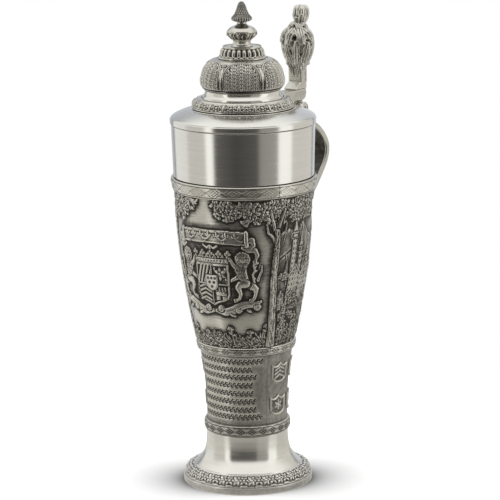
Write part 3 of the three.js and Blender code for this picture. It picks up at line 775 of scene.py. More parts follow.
def crest(relief, rng):
    """Quartered shield with a made-up device in each quarter, its coronet and two lions."""
    for side in (-1, 1):
        lion(relief, side, 0.4 if side < 0 else 0.0, rng)
    relief.plate(SHIELD, 0.95, 0.5, moat=0.6)
    inner = [(u * 0.91, 128.2 + (v - 128.2) * 0.91) for u, v in SHIELD]
    relief.plate(inner, -0.55, 0.3, add=True)
    for _ in range(420):
        relief.dome(rng.uniform(-10, 10), rng.uniform(117.5, 140), 0.42, 0.42, rng.uniform(-0.18, 0.12),
                    add=True)
    for k in range(4):
        u = -10.0 + 2.5 * k
        relief.stroke([(u, 129.6), (u + 3.0, 139.8)], 0.7, 0.35, 0.45, 0.3, moat=0.25)
    for k in range(6):
        angle = math.pi * k / 3
        relief.leaf(5.6, 134.8, math.degrees(angle), 4.2, 2.3, 0.45, 0.4, moat=0.3)
    relief.dome(5.6, 134.8, 1.1, 1.1, 0.45, base=0.6, moat=0.25)
    for k in range(4):
        angle = math.pi * (2 * k + 1) / 4
        relief.dome(5.6 + 4.9 * math.cos(angle), 134.8 + 4.4 * math.sin(angle), 0.8, 0.8, 0.4, base=0.4,
                    moat=0.2)
    for v in (118.6, 121.2, 123.8, 126.2):
        relief.stroke([(-9.2, v - 0.4), (-5.2, v + 1.4), (-1.2, v - 0.4)], 0.6, 0.4, 0.4, moat=0.25)
    relief.plate([(2.0, 118.6), (8.6, 118.6), (8.6, 124.0), (2.0, 124.0)], 0.4, 0.3, 0.45, moat=0.3)
    for k in range(4):
        u = 2.0 + 1.87 * k
        relief.plate([(u, 124.0), (u + 1.0, 124.0), (u + 1.0, 126.6), (u, 126.6)], 0.4, 0.3, 0.45, moat=0.2)
    for row in range(3):
        relief.stroke([(2.2, 119.8 + 1.5 * row), (8.4, 119.8 + 1.5 * row)], 0.2, 0.25, cut=True)
    relief.dome(5.3, 119.8, 0.9, 1.7, -0.4, add=True)
    relief.stroke([(0, 140.4), (0, 116.6)], 0.42, 0.25, 0.65, moat=0.2)
    relief.stroke([(-10.4, 128.2), (10.4, 128.2)], 0.42, 0.25, 0.65, moat=0.2)
    relief.tone += 0.22 * ((np.abs(relief.u) < 10.2) & (np.abs(relief.v - 129) < 11.5)[:, None])
    heart = [(-4.1, 134.1), (4.1, 134.1), (4.0, 127.6), (2.5, 125.4), (0, 124.2), (-2.5, 125.4),
             (-4.0, 127.6)]
    relief.plate(heart, 0.5, 0.35, 0.75, moat=0.4)
    for u, v in ((-2.3, 132.2), (0, 132.2), (2.3, 132.2), (-1.5, 129.6), (1.5, 129.6), (0, 127.0)):
        relief.dome(u, v, 0.85, 0.85, -0.4, add=True)
        relief.dome(u, v, 0.4, 0.4, 0.3, add=True)
    coronet(relief)


def coronet(relief):
    """Band of pearls with five trefoil points."""
    for k, u in enumerate(np.linspace(-10.2, 10.2, 5)):
        lean = 0.08 * u
        if k < 4:
            relief.stroke([(u + 0.9, 144.2), (u + 2.6, 145.6), (u + 4.3, 144.2)], 0.5, 0.6, 0.2, moat=0.3)
            relief.dome(u + 2.6, 146.4, 0.75, 0.75, 0.6, base=0.2, moat=0.25)
        relief.stroke([(u, 143.6), (u + lean, 147.2)], [0.8, 0.55], 0.8, 0.2, moat=0.35)
        for du, dv in ((-1.15, -0.1), (1.15, -0.1), (0, 1.2)):
            relief.dome(u + lean + du, 147.2 + dv, 0.85, 0.85, 0.55, base=0.4, moat=0.25)
    relief.plate([(-11.3, 141.3), (11.1, 141.5), (10.7, 144.3), (-10.9, 144.1)], 0.6, 0.4, 0.3, moat=0.4)
    for u in np.linspace(-10, 10, 11):
        relief.dome(u, 142.8, 0.72, 0.78, 0.45, base=0.75, moat=0.18)


def banner(relief):
    """Ribbon above the crest with a running leaf scroll where its word would be."""
    def arch(u, lift):
        return 157.2 + lift - 0.0021 * u * u

    for side in (-1, 1):
        tail = [(22.4, 154.6), (26.0, 155.8), (26.6, 152.6), (24.0, 151.0), (20.6, 151.2), (23.6, 149.2),
                (27.4, 149.6),
                (28.6, 146.6), (27.4, 143.6)]
        points = [(side * u, v) for u, v in tail]
        relief.stroke(points, [1.5, 1.5, 1.2, 1.3, 1.1, 1.1, 1.3, 1.2, 0.6], 0.55, 0.15, 0.4, moat=0.4)
        relief.stroke(points, 0.24, 0.3, cut=True)
    spans = np.linspace(-22.5, 22.8, 61)
    edge = [(u, arch(u, -3.9)) for u in spans] + [(u, arch(u, 4.4)) for u in spans[::-1]]
    relief.plate(edge, 0.9, 0.4, moat=0.6)
    field = [(u, arch(u, -3.0)) for u in spans[2:-2]] + [(u, arch(u, 3.5)) for u in spans[2:-2][::-1]]
    relief.plate(field, -0.28, 0.35, add=True)
    for end in (-22.2, 22.6):
        relief.stroke([(end, arch(end, -3.7)), (end, arch(end, 4.2))], 1.1, 0.5, 0.7, moat=0.3)
    def vine(u):
        return arch(u, 0.25 + 1.5 * math.sin(2 * math.pi * u / 11.2))

    relief.stroke([(u, vine(u)) for u in np.linspace(-19.8, 20.2, 89)], 0.52, 0.5, 0.55, moat=0.25)
    for k in range(7):
        u = -16.8 + 5.6 * k
        side = 1 if vine(u) > arch(u, 0.25) else -1
        root = (u - 0.5, vine(u) - side * 0.4)
        for turn, length in ((-64, 2.8), (60, 2.8), (0, 3.6)):
            relief.leaf(*root, turn + (180 if side > 0 else 0), length, 1.8, 0.5, 0.5, 0.15, moat=0.22)
        relief.dome(u + 2.4, vine(u + 2.4) + side * 1.5, 0.65, 0.65, 0.45, base=0.5, moat=0.2)
    relief.stroke([(-4.8, 152.0), (-2.4, 150.4), (0, 151.9), (2.4, 150.4), (4.8, 152.0)], 0.6, 0.55, 0.15,
                  moat=0.3)
    relief.dome(0, 150.4, 0.9, 0.9, 0.5, base=0.2, moat=0.25)


def ground_scroll(relief):
    """Broad grooved scrolls that the lions stand on."""
    for side in (-1, 1):
        ribbon = [(1.2, 111.8), (6.5, 111.3), (11.0, 112.4), (15.0, 114.6), (19.5, 116.0), (24.0, 116.0),
                  (28.4, 117.8)]
        points = [(side * u, v) for u, v in ribbon]
        line = curve_through(points, 1.0)
        relief.stroke(line, np.interp(np.linspace(0, 6, len(line)), range(7),
                                      [1.2, 2.2, 2.4, 2.3, 2.1, 1.6, 0.6]),
                      0.65, 0.2, 0.35, moat=0.5)
        for shift in (-0.75, 0.75):
            relief.stroke(curve_through([(u, v + shift) for u, v in points[:-1]], 1.0), 0.5, 0.28, cut=True)
        for u, v, r in ((4.2, 113.0, 2.1), (14.6, 112.2, 1.7), (25.6, 114.2, 2.1)):
            turns = np.linspace(0, 3.6 * math.pi, 30)
            spiral = [(side * (u + r * (1 - t / 13.5) * math.cos(t)),
                       v + r * (1 - t / 13.5) * math.sin(t)) for t in turns]
            relief.dome(side * u, v, r, r, 0.25, base=0.25, moat=0.45)
            relief.stroke(spiral, 0.45, 0.5, 0.45)
        relief.leaf(side * 9.0, 110.4, side * 115, 4.6, 2.0, 0.5, 0.2, moat=0.35)
        relief.leaf(side * 19.5, 113.0, side * 125, 3.6, 1.7, 0.5, 0.2, moat=0.35)


INSCRIPTION_ROWS = [(79.3, 58), (74.2, 43.4), (69.5, 47.8), (64.4, 43), (59.2, 44), (54.2, 48), (49.1, 48),
                    (44.5, 57)]


def ornament_rows(relief):
    """Eight engraved rows of a running sprig on the brushed lower wall: slanted leaves and dots."""
    for v, right in INSCRIPTION_ROWS:
        r = float(np.interp(v, relief.v, relief.radius))
        end = math.radians(right - PANEL_TURN) * r
        relief.stroke([(-end, v), (end, v)], 0.30, 0.25, cut=True)
        for k, u in enumerate(np.arange(-end, end - 0.8, 1.35)):
            side = 1 if k % 2 else -1
            relief.stroke([(u, v), (u + 1.0, v + side * 1.35)], 0.55, 0.55, cut=True)
            relief.dome(u + 0.5, v - side * 1.0, 0.45, 0.45, -0.45, add=True)


def front_panel(relief, rng):
    """Crest between two trees, over a meadow, with rows of engraved sprigs below."""
    crown_foliage(relief, [
        (-29, 172.8, 5.4, 6.2, 60), (-21, 172.4, 5.0, 6.4, 60), (-14, 175.6, 4.6, 3.8, 36),
        (-10, 177.4, 2.6, 1.6, 10),
        (7.0, 171.6, 2.6, 2.8, 16), (12.6, 169.6, 3.6, 2.6, 20), (12, 175.4, 6.4, 3.4, 44),
        (20.6, 173.8, 6.0, 5.4, 66),
        (28, 172.6, 4.2, 6.0, 50), (30.6, 168.4, 2.6, 2.6, 16), (22.5, 166.6, 2.5, 1.8, 10),
        (4.6, 176.8, 3, 1.8, 12),
    ], rng)
    bark(relief, [(12.6, 171.5), (19, 172.6), (25.5, 171.6), (31.5, 167.2)], [0.35, 0.5, 0.65, 0.85], rng,
         1.3)
    bark(relief, [(17.5, 175.2), (22, 174.0), (26, 172)], [0.3, 0.4, 0.5], rng, 1.3)
    meadow(relief, -32, 32, rng)
    for side in (-1, 1):
        tree(relief, seam(relief, side), rng, -side)
    ground_scroll(relief)
    banner(relief)
    crest(relief, rng)
    for side in (-1, 1):
        bark(relief, [(side * 27.8, 131.0), (side * 29.0, 134.0), (side * 30.4, 136.4), (side * 31.0, 140.0)],
             [0.9, 0.7, 0.55, 0.35], rng)
    ornament_rows(relief)


def roofed_tower(relief, u, low, wall_top, tip, half, h=0.75):
    """Round tower with a conical roof, a gallery and columns of windows."""
    relief.stroke([(u, low), (u, wall_top - half)], half, h, 0.15, flat=0.1, moat=0.5)
    eaves = half * 1.3
    roof = [(u - eaves, wall_top), (u + eaves, wall_top), (u + 0.35 * eaves,
                                                           wall_top + 0.55 * (tip - wall_top)),
            (u, tip), (u - 0.35 * eaves, wall_top + 0.55 * (tip - wall_top))]
    relief.plate(roof, h + 0.1, half, 0.15, moat=0.5)
    for row in range(4):
        y = wall_top + (tip - wall_top) * (0.1 + 0.16 * row)
        wide = eaves * (1 - 0.22 * (row + 1))
        relief.stroke([(u - wide, y), (u + wide, y)], 0.2, 0.25, cut=True)
    for drop in (0.4, 3.6):
        relief.stroke([(u - half * 1.2, wall_top - drop), (u + half * 1.2, wall_top - drop)], 0.42, 0.4, 0.6,
                      moat=0.25)
    relief.dome(u, tip + 0.5, 0.42, 0.7, 0.6, moat=0.2)
    for v in np.arange(low + 2.5, wall_top - 1.5, 3.0):
        for x in (-0.45, 0.45):
            relief.stroke([(u + x * half, v), (u + x * half, v + 0.9)], 0.4, 0.7, cut=True)


def gabled_house(relief, u, low, eaves, ridge, half, h=0.7):
    """House front with roof edges, string courses and rows of windows."""
    relief.plate([(u - half, low), (u + half, low), (u + half, eaves), (u, ridge), (u - half, eaves)], h,
                 0.4, 0.2,
                 moat=0.5)
    for side in (-1, 1):
        relief.stroke([(u + side * (half + 0.5), eaves - 0.5), (u, ridge + 0.3)], 0.6, 0.4, 0.75, moat=0.3)
        for step in np.linspace(0.2, 0.8, 4):
            x = u + side * half * (1 - step)
            relief.stroke([(x, eaves + 0.1), (x, eaves + (ridge - eaves) * step - 0.3)], 0.18, 0.2, cut=True)
    for v in np.arange(low + 1.4, eaves + 0.1, 3.1):
        relief.stroke([(u - half, v + 1.9), (u + half, v + 1.9)], 0.24, 0.25, 0.75)
        for x in np.linspace(-half + 1.1, half - 1.1, max(2, int(half * 0.9))):
            relief.stroke([(u + x, v), (u + x, v + 0.9)], 0.42, 0.7, cut=True)


def fir(relief, u, v, top, rng):
    """A small fir: tiers of drooping branches."""
    tiers = int((top - v) / 1.1)
    for k in range(tiers):
        t = k / tiers
        wide = 2.3 * (1 - t) + 0.4
        y = v + (top - v) * t
        for side in (-1, 1):
            relief.leaf(u, y + 0.9, side * (116 + rng.uniform(-8, 8)), wide, 1.2, 0.45, 0.2 + 0.3 * t,
                        moat=0.3)
        relief.leaf(u, y + 1.0, 180, 1.5, 1.0, 0.4, 0.5, moat=0.2)


def castle_panel(relief, rng, towers, houses, peaks):
    """Castle among mountains, woods and rocks on a side casting."""
    for line in peaks:
        ridge = [(a + (b - a) * t, c + (d - c) * t + rng.uniform(-0.5, 0.5))
                 for (a, c), (b, d) in zip(line[:-1], line[1:]) for t in (0, 0.34, 0.67)]
        relief.plate(ridge + [(line[-1][0], line[-1][1]), (line[-1][0], 110), (line[0][0], 110)], 0.25, 1.2,
                     moat=0.5)
        for u, v in ridge[::2]:
            relief.stroke([(u, v - 0.5), (u + rng.uniform(-2.5, 2.5), v - rng.uniform(4, 8))], [0.5, 0.2],
                          0.35, 0.2,
                          moat=0.3)
    for u in np.arange(-35, 36, 3.1):
        fir(relief, u, rng.uniform(124, 131), rng.uniform(133, 141), rng)
    for tower in towers:
        roofed_tower(relief, *tower)
    for house in houses:
        gabled_house(relief, *house)
    spots = sorted(((rng.uniform(95, 120), rng.uniform(-36, 36)) for _ in range(120)), reverse=True)
    for k, (v, u) in enumerate(spots):
        if k % 4 == 3:
            fir(relief, u, v - 2, v + rng.uniform(4, 7), rng)
        else:
            bush(relief, u, v, rng.uniform(1.7, 2.8), rng)
    meadow(relief, -32, 32, rng)


RIGHT_SCENE = dict(
    towers=[(-27.2, 124, 157.8, 168, 2.2), (-20.6, 126, 148.5, 160.5, 1.7), (-10.4, 122, 140.4, 150.5, 2.3),
            (2.5, 120, 151.5, 163.5, 2.6), (13.6, 120, 142.6, 152.0, 1.9), (25.6, 118, 146.0, 157.0, 2.4)],
    houses=[(-24.4, 118, 132.2, 137.6, 4.8), (-15.6, 117, 129.6, 135.0, 3.6), (-3.8, 116, 130.5, 138.0, 4.4),
            (8.2, 116, 133.6, 140.4, 3.8), (19.6, 116, 130.0, 136.6, 4.2), (31, 115, 127.0, 132.6, 3.4)],
    peaks=[[(-40, 155.5), (-32.8, 161.4), (-27, 157), (-20, 163.5), (-12, 156), (-2, 152), (8, 158),
            (18, 152),
            (28, 159.5), (40, 151)],
           [(-40, 141), (-30, 147), (-18, 141), (-6, 147.5), (8, 142), (22, 148), (40, 139)]],
)
LEFT_SCENE = dict(
    towers=[(-24.5, 119, 145.0, 156.4, 2.4), (-6.0, 120, 154.0, 167.0, 2.7), (5.4, 121, 146.5, 156.0, 1.9),
            (21.4, 119, 141.0, 151.5, 2.2), (30.2, 119, 150.4, 160.8, 1.7)],
    houses=[(-31.5, 115, 128.0, 133.6, 3.4), (-17.0, 116, 132.4, 139.4, 4.4), (-1.0, 116, 134.0, 141.0, 4.2),
            (12.6, 116, 130.8, 137.2, 4.6), (26.6, 115, 129.4, 135.2, 4.0)],
    peaks=[[(-40, 150), (-30, 158), (-20, 152.5), (-10, 160.5), (2, 153.5), (14, 162), (26, 154),
            (40, 158.5)],
           [(-40, 139), (-26, 146), (-12, 140.5), (4, 147), (18, 141), (32, 147.5), (40, 142)]],
)


def side_panel(relief, rng, scene):
    """A castle scene under a fringe of leaves."""
    castle_panel(relief, rng, **scene)
    for u in np.arange(-30, -8, 4.0):
        foliage(relief, u, 171.5, 4.0, 6.5, 44, rng, 1.05)
    for u in np.arange(-26, 27, 5.2):
        foliage(relief, u, 176.6 + rng.uniform(-0.6, 0.6), 4.4, 2.8 + rng.uniform(-0.5, 1.6), 28, rng, 1.05)


def stave(name, middle, draw, seed, tree_sides, shade):
    """One of the three wall castings, closed, with its rings and relief. shade is its general film."""
    rng = np.random.default_rng(seed)
    runs = [RINGS[0], WALL_LOW, RINGS[1], WALL_HIGH, RINGS[2]]
    outer = np.vstack([even(run, count) for run, count in zip(runs, ROWS)])
    inner = np.asarray([
        (42.9, 187.6), (41.15, 187.6), (41.1, 183.9), (39.9, 183.9), (39.2, 178), (38.0, 162), (36.1, 141),
        (33.5, 122),
        (30.2, 103), (27.1, 88), (24.1, 71), (23.0, 59), (22.4, 47), (22.4, 32.4),
    ])
    half = PANEL / 2 - 0.1
    bearings = middle + np.linspace(-half, half, STAVE_COLUMNS)
    relief = Relief(outer[:, 1], outer[:, 0], bearings, middle)
    draw(relief, rng)
    for side in tree_sides:
        tree(relief, seam(relief, side), np.random.default_rng(31), -side)
    wall = (relief.v > 39.2) & (relief.v < 82.6) | (relief.v > 88.4) & (relief.v < 179.4)
    relief.h[~wall] = 0
    upper = (relief.v > 88.4) & (relief.v < 179.4)
    ripple = np.cumsum(rng.normal(0, 0.05, relief.h.shape), 1)
    ripple -= box_blur(ripple, 0, 18)
    quiet = np.clip(1 - relief.h / 0.25, 0, 1)
    relief.h[upper] += (0.22 * box_blur(ripple, 0, 8) * quiet)[upper]
    for z0, z1 in ((32.4, 38.9), (82.95, 88.1), (179.7, 187.5)):
        lozenge_ring(relief, z0, z1, bearings)
    ink = np.zeros_like(relief.h)
    if not tree_sides:
        for v, right in INSCRIPTION_ROWS:
            within = np.clip((right - PANEL_TURN + 1 - relief.off) / 2, 0, 1)[None, :]
            ink += np.clip(2.1 - np.abs(relief.v - v), 0, 0.8)[:, None] / 0.8 * within

    loop = np.vstack([outer, inner])
    normal = outline_normals(loop)
    h = np.vstack([relief.h, np.zeros((len(inner), STAVE_COLUMNS))])
    cast = 0.45 * h + 0.55 * box_blur(h, 1, 1)      # the mould rounds off the finest steps
    radius = loop[:, :1] + normal[:, :1] * cast
    z = loop[:, 1:] + normal[:, 1:] * cast
    rows = len(loop)
    quads = grid_quads(rows, STAVE_COLUMNS, True, False)
    ends = [[i * STAVE_COLUMNS for i in range(rows)],
            [i * STAVE_COLUMNS + STAVE_COLUMNS - 1 for i in range(rows)][::-1]]
    faces = quads.tolist() + ends
    if not anticlockwise(loop):
        faces = [face[::-1] for face in faces]
    obj = new_object(name, ring_points(radius, z, bearings), faces, ANTIQUE, "vessel", (name,))
    near = box_blur(box_blur(h, 1, 1), 2, 2) - h
    wide = box_blur(box_blur(h, 5, 6), 5, 6) - h
    broad = box_blur(box_blur(h, 12, 14), 12, 14) - h
    busy = box_blur(np.abs(wide), 6, 7)
    count = len(outer)
    lower = (relief.v > 39.2) & (relief.v < 82.6)
    ring = ~(upper | lower)
    film = 3.4 * near + 1.3 * wide
    general = shade + 0.55 * np.clip(broad[:count], -0.25, 1) + 2.2 * busy[:count] + relief.tone
    film[:count][upper] = (np.clip(film[:count], -0.3, 0.5) + np.minimum(general, 0.50 + 0.35 * shade))[upper]
    film[:count][lower] += 0.56 + 0.12 * ink[lower] + 1.2 * np.clip(-h[:count], 0, 1)[lower]
    ring_shade = np.interp(relief.v, [40, 80, 90, 175], [0.64, 0.42, 0.42, 0.04])[:, None]
    film[:count][ring] += (ring_shade + 0.25 * np.clip(-h[:count], 0, 1))[ring]
    set_patina(obj, film)
    return obj


def wall():
    stave("relief_stave_front", PANEL_TURN, front_panel, 11, (), 0.11)
    stave("relief_stave_right", PANEL_TURN + PANEL, lambda r, g: side_panel(r, g, RIGHT_SCENE), 12, (-1,),
          0.44)
    stave("relief_stave_left", PANEL_TURN - PANEL, lambda r, g: side_panel(r, g, LEFT_SCENE), 13, (1,), 0.44)


# ---------------------------------------------------------------- shields on the lower wall
def device(relief, kind):
    """A simple made-up charge for a small shield, five millimetres across."""
    if kind == 0:
        for k in range(6):
            relief.leaf(0, 0, 60 * k, 3.6, 1.9, 0.55, moat=0.25)
        relief.dome(0, 0, 1.0, 1.0, 0.4, base=0.4, moat=0.25)
    elif kind == 1:
        relief.stroke([(-3.6, -2.6), (3.6, 3.0)], 1.1, 0.5)
        for u, v in ((-2.4, 1.8), (2.4, -1.8)):
            for k in range(5):
                relief.leaf(u, v, 72 * k, 1.6, 0.8, 0.5)
    elif kind == 2:
        relief.stroke([(0, -4), (0, 2.6)], 0.4, 0.5)
        for k in range(4):
            for side in (-1, 1):
                relief.leaf(0, -3.4 + 1.6 * k, side * 50, 3.3, 1.3, 0.5)
        relief.leaf(0, 1.4, 0, 2.8, 1.4, 0.55)
    elif kind == 3:
        for v in (-2.6, -0.2, 2.2):
            relief.stroke([(-3.8, v - 0.8), (0, v + 1.2), (3.8, v - 0.8)], 0.6, 0.5)
    elif kind == 4:
        for k in range(8):
            angle = math.pi * k / 4
            relief.stroke([(0, 0), (3.3 * math.cos(angle), 3.3 * math.sin(angle))], 0.42, 0.5)
        turns = np.linspace(0, 2 * math.pi, 33)
        relief.stroke([(3.3 * math.cos(t), 3.3 * math.sin(t)) for t in turns], 0.5, 0.55)
        relief.dome(0, 0, 1.1, 1.1, 0.7)
    else:
        relief.stroke([(-4, -0.2), (4, -0.2)], 0.9, 0.5)
        for u, v in ((-2.3, 2.5), (0, 2.5), (2.3, 2.5), (-1.3, -2.5), (1.3, -2.5)):
            relief.dome(u, v, 0.85, 0.85, 0.6)


def shield_badge(name, kind):
    """Small shield with a rolled rim and a pitted field, curved to the wall."""
    low, high = (np.asarray(corner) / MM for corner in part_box(name))
    middle = (low + high) / 2
    bearing = math.degrees(math.atan2(middle[0], -middle[1]))
    height = high[2] - low[2]
    half_w, half_h = 6.6, height / 2
    n = 56
    s = np.linspace(-1, 1, n)
    top = half_h * (0.86 - 0.20 * np.sin(math.pi * np.abs(s)) ** 0.9 + 0.14 * (1 - np.abs(s)) ** 3)
    low_edge = -half_h * (0.42 + 0.58 * np.clip(1 - np.abs(s) ** 2.4, 0, 1) ** 0.8)
    t = np.linspace(0, 1, n)[:, None]
    v = low_edge[None, :] * (1 - t) + top[None, :] * t
    taper = 1 - 0.07 * (1 - t)
    u = half_w * s[None, :] * taper

    span = np.linspace(-8, 8, 120)
    field = Relief(span, np.full(120, 26.0), np.degrees(span / 26.0))
    device(field, kind)
    rng = np.random.default_rng(100 + kind)
    for _ in range(150):
        field.dome(rng.uniform(-6, 6), rng.uniform(-6.5, 6.5), 0.4, 0.4, -0.14, add=True)
    at_u = np.clip((u + 8) / 16 * 119, 0, 118.999)
    at_v = np.clip((v + 8) / 16 * 119, 0, 118.999)
    i, j = at_v.astype(int), at_u.astype(int)
    fi, fj = at_v - i, at_u - j
    g = field.h
    art = (g[i, j] * (1 - fi) + g[i + 1, j] * fi) * (1 - fj) + (g[i, j + 1] * (1 - fi) + g[i + 1,
                                                                                           j + 1] * fi) * fj

    side_gap = half_w * (1 - np.abs(s))[None, :]
    gap = np.minimum(np.minimum(v - low_edge[None, :], top[None, :] - v), side_gap)
    rim = np.exp(-((gap - 0.62) / 0.45) ** 2)
    edge_round = np.sqrt(np.clip(1 - np.clip(1 - gap / 0.35, 0, 1) ** 2, 0, 1))
    rise = (0.15 + 0.62 * art * (gap > 1.0) + 0.55 * rim) * edge_round
    wall_line = np.asarray(WALL_LOW)
    z = middle[2] + v
    base = np.interp(z, wall_line[:, 1], wall_line[:, 0]) + 0.12
    angle = np.radians(bearing) + u / base

    def skin(radius):
        return np.stack([radius * np.sin(angle), -radius * np.cos(angle), z], -1).reshape(-1, 3)

    verts = np.vstack([skin(base + 0.25 + rise), skin(base)])
    front = grid_quads(n, n, False, False)
    back = front[:, ::-1] + n * n
    border = np.r_[np.arange(n), np.arange(1, n) * n + n - 1, (n - 1) * n + np.arange(n - 2, -1, -1),
                   np.arange(n - 2, 0, -1) * n]
    after = np.roll(border, -1)
    walls = np.stack([after, after + n * n, border + n * n, border], 1)
    obj = new_object(name, verts, np.vstack([front, back, walls]), ANTIQUE, "vessel", (name,))
    film = 0.12 + 0.75 * np.clip(1 - rise / 0.5, 0, 1) * (gap > 0.9)
    set_patina(obj, np.r_[film.ravel(), np.zeros(n * n)])


def shields():
    names = sorted(name for name in frame["nodes"] if name.startswith("shield_badge"))
    for index, name in enumerate(names):
        shield_badge(name, index % 6)


# ---------------------------------------------------------------- lid castings
def border_ring():
    base = level("lid_border_ring", 0)
    loop = outline(
        [(30.3, base), (30.3, base + 0.6)], [(29.9, base + 0.8)],
        [(29.9, base + 1.0), (29.7, base + 2.4), (29.1, base + 3.8), (28.1, base + 4.8)],
        [(27.8, base + 4.7)], [(27.5, base + 5.0), (26.8, base + 5.7), (26.0, base + 5.9)],
        [(24.6, base + 6.0)],
        [(24.6, base)], step=0.25,
    )
    count, columns = 20, 20 * 30
    garland = repeated(loop, columns, (29.9, base + 1.0), (28.1, base + 4.8), count, acanthus_unit)
    turned("lid_border_ring", loop, columns, ANTIQUE, "lid", lambda *_: garland * 0.9, 0.05)


def dome_unit(unit, pitch, length):
    """One arched panel of herringbone leaves; the smooth spandrels meet its neighbours' at the edges."""
    spring, crown = length * 0.36, length * 0.86

    def half_at(v):
        return float(np.interp(v, unit.v, unit.radius)) * math.pi / 6

    def arch_half(v, inset=0.0):
        straight = half_at(min(v, spring)) - 1.3 - inset
        if v <= spring:
            return straight
        t = (v - spring) / (crown - inset - spring)
        return straight * math.sqrt(max(1 - t * t, 0.0))

    v = unit.v[:, None] + 0 * unit.u
    inside = np.array([arch_half(x) for x in unit.v])[:, None] - np.abs(unit.u)
    smooth = (inside < 0) & (v > 0.8) & (v < length - 0.6)
    unit.h = np.where(smooth, 0.42, unit.h)
    pitch_u, pitch_v = 4.1, 2.15
    for step in range(12, -1, -1):
        for column in range(-2, 3):
            u, v0 = column * pitch_u, 0.2 + pitch_v * (step + 0.5 * (column % 2))
            for side in (-1, 1):
                if abs(u + side * 1.2) < arch_half(v0 + 1.8, 1.5) and v0 + 1.8 < crown - 1.6:
                    unit.leaf(u, v0, 42 * side, 3.7, 1.75, 0.55, 0.05, 0.16, moat=0.22)
                    unit.leaf(u + side * 0.2, v0 + 0.7, 14 * side, 2.3, 1.0, 0.45, 0.25, 0.0, moat=0.15)
    for inset, wide in ((0.1, 0.40), (1.15, 0.30)):
        heights = np.r_[np.linspace(1.4, spring, 8), spring + (crown - inset - spring) * np.sin(
            np.linspace(0.1, math.pi / 2, 22))]
        left = [(-arch_half(x, inset), x) for x in heights]
        right = [(arch_half(x, inset), x) for x in heights[::-1]]
        unit.stroke(left + right, wide, 0.5, 0.2)
    for x, wide in ((1.3, 0.32), (0.45, 0.4)):
        unit.stroke([(-half_at(x), x), (half_at(x), x)], wide, 0.45, 0.2)
    for side in (-1, 1):
        def edge(low, high, count=8):
            return [(side * half_at(x), x) for x in np.linspace(low, high, count)]

        unit.stroke(edge(length * 0.33, length * 0.60), [0.8, 1.1, 1.3, 1.4, 1.4, 1.3, 1.1, 0.8], 0.42, 0.35)
        unit.stroke(edge(1.5, length * 0.28), 0.55, 0.75, 0.25)
        for x in (-1.25, 1.25):
            line = [(u + x, v) for u, v in edge(1.5, length * 0.30)]
            unit.stroke(line, 0.28, 0.8, cut=True)
        u, v = side * half_at(length * 0.73), length * 0.73
        unit.dome(u, v, 1.3, 1.3, 0.35, base=0.4)
        for k in range(8):
            angle = math.pi * k / 4
            unit.dome(u + 1.0 * math.cos(angle), v + 1.0 * math.sin(angle), 0.42, 0.42, 0.4, base=0.55)
        unit.dome(u, v, 0.5, 0.5, 0.5, base=0.7)


def dome():
    base = level("lid_dome", 0)
    loop = outline(
        [(21.6, base)], [(23.2, base)],
        [(23.3, base + 0.1), (24.1, base + 1.6), (24.5, base + 3.6), (24.3, base + 6.6), (23.0, base + 11.1),
         (21.0, base + 14.0), (18.4, base + 16.2), (14.6, base + 17.3)],
        [(1.9, base + 17.4)], [(1.9, base + 15.7)],
        [(14.0, base + 15.6)], [(17.4, base + 14.4)], [(19.4, base + 12.4)], [(21.3, base + 9.6)],
        [(22.5, base + 6.0)], [(22.6, base + 3.4)], [(21.8, base + 0.8)], step=0.2,
    )
    count, columns = 6, 6 * 140
    bulge = repeated(loop, columns, (23.3, base + 0.1), (14.6, base + 17.3), count, dome_unit) - 0.2

    # painted shadow: the lowest millimetre of the dome, where it overhangs the collar, carries a dark band in
    # the film
    def film(points):
        return 0.32 + 0.8 * (points[:, 1] < base + 1.0)

    # the straps sit at bearing PANEL_TURN + 60 k, half a unit from the panels' middles
    turned("lid_dome", loop, columns, ANTIQUE, "lid", lambda *_: bulge, film, strength=6.0)


def crown_unit(unit, pitch, length):
    unit.stroke([(0, 1.2), (0, length * 0.66)], [pitch * 0.37, pitch * 0.35], 0.95, flat=0.1)
    unit.stroke([(-pitch, length * 0.93), (pitch, length * 0.93)], 0.42, 0.35, 0.55)


def crown_ring():
    base = level("dome_crown_ring", 0)
    loop = outline(
        [(14.2, base)], [(14.4, base + 0.2), (14.4, base + 0.9)],
        [(14.1, base + 1.0), (13.2, base + 1.5), (13.0, base + 2.6), (12.8, base + 4.0), (12.0, base + 5.6),
         (10.6, base + 6.7)],
        [(10.4, base + 6.9)], [(1.9, base + 6.9)], [(1.9, base)], step=0.22,
    )
    count, columns = 24, 24 * 20
    ribs = repeated(loop, columns, (13.2, base + 1.5), (10.6, base + 6.7), count, crown_unit)
    rows, along = part_of(loop, (13.2, base + 1.5), (10.6, base + 6.7))
    ease = np.zeros(len(loop))
    ease[rows] = np.clip(np.minimum(along - 0.3, 5.6 - along) / 0.4, 0, 1)
    turned("dome_crown_ring", loop, columns, ANTIQUE, "lid", lambda *_: ribs - 0.65 * ease[:, None], 0.14,
           strength=5.0)


def knop_unit(unit, pitch, length):
    middle = length * 0.62
    unit.dome(0, middle, pitch * 0.30, 1.5, 0.25)
    unit.dome(0, middle, pitch * 0.14, 0.7, 0.2, base=0.2)
    for k in range(6):
        angle = math.pi * k / 3
        unit.dome(pitch * 0.30 * math.cos(angle), middle + 1.5 * math.sin(angle), 0.42, 0.42, 0.22)
    unit.stroke([(0, length * 0.10), (0, length * 0.42)], [0.35, 0.7], 0.25)
    unit.leaf(pitch / 2, length * 0.12, 0, length * 0.62, pitch * 0.46, 0.25)


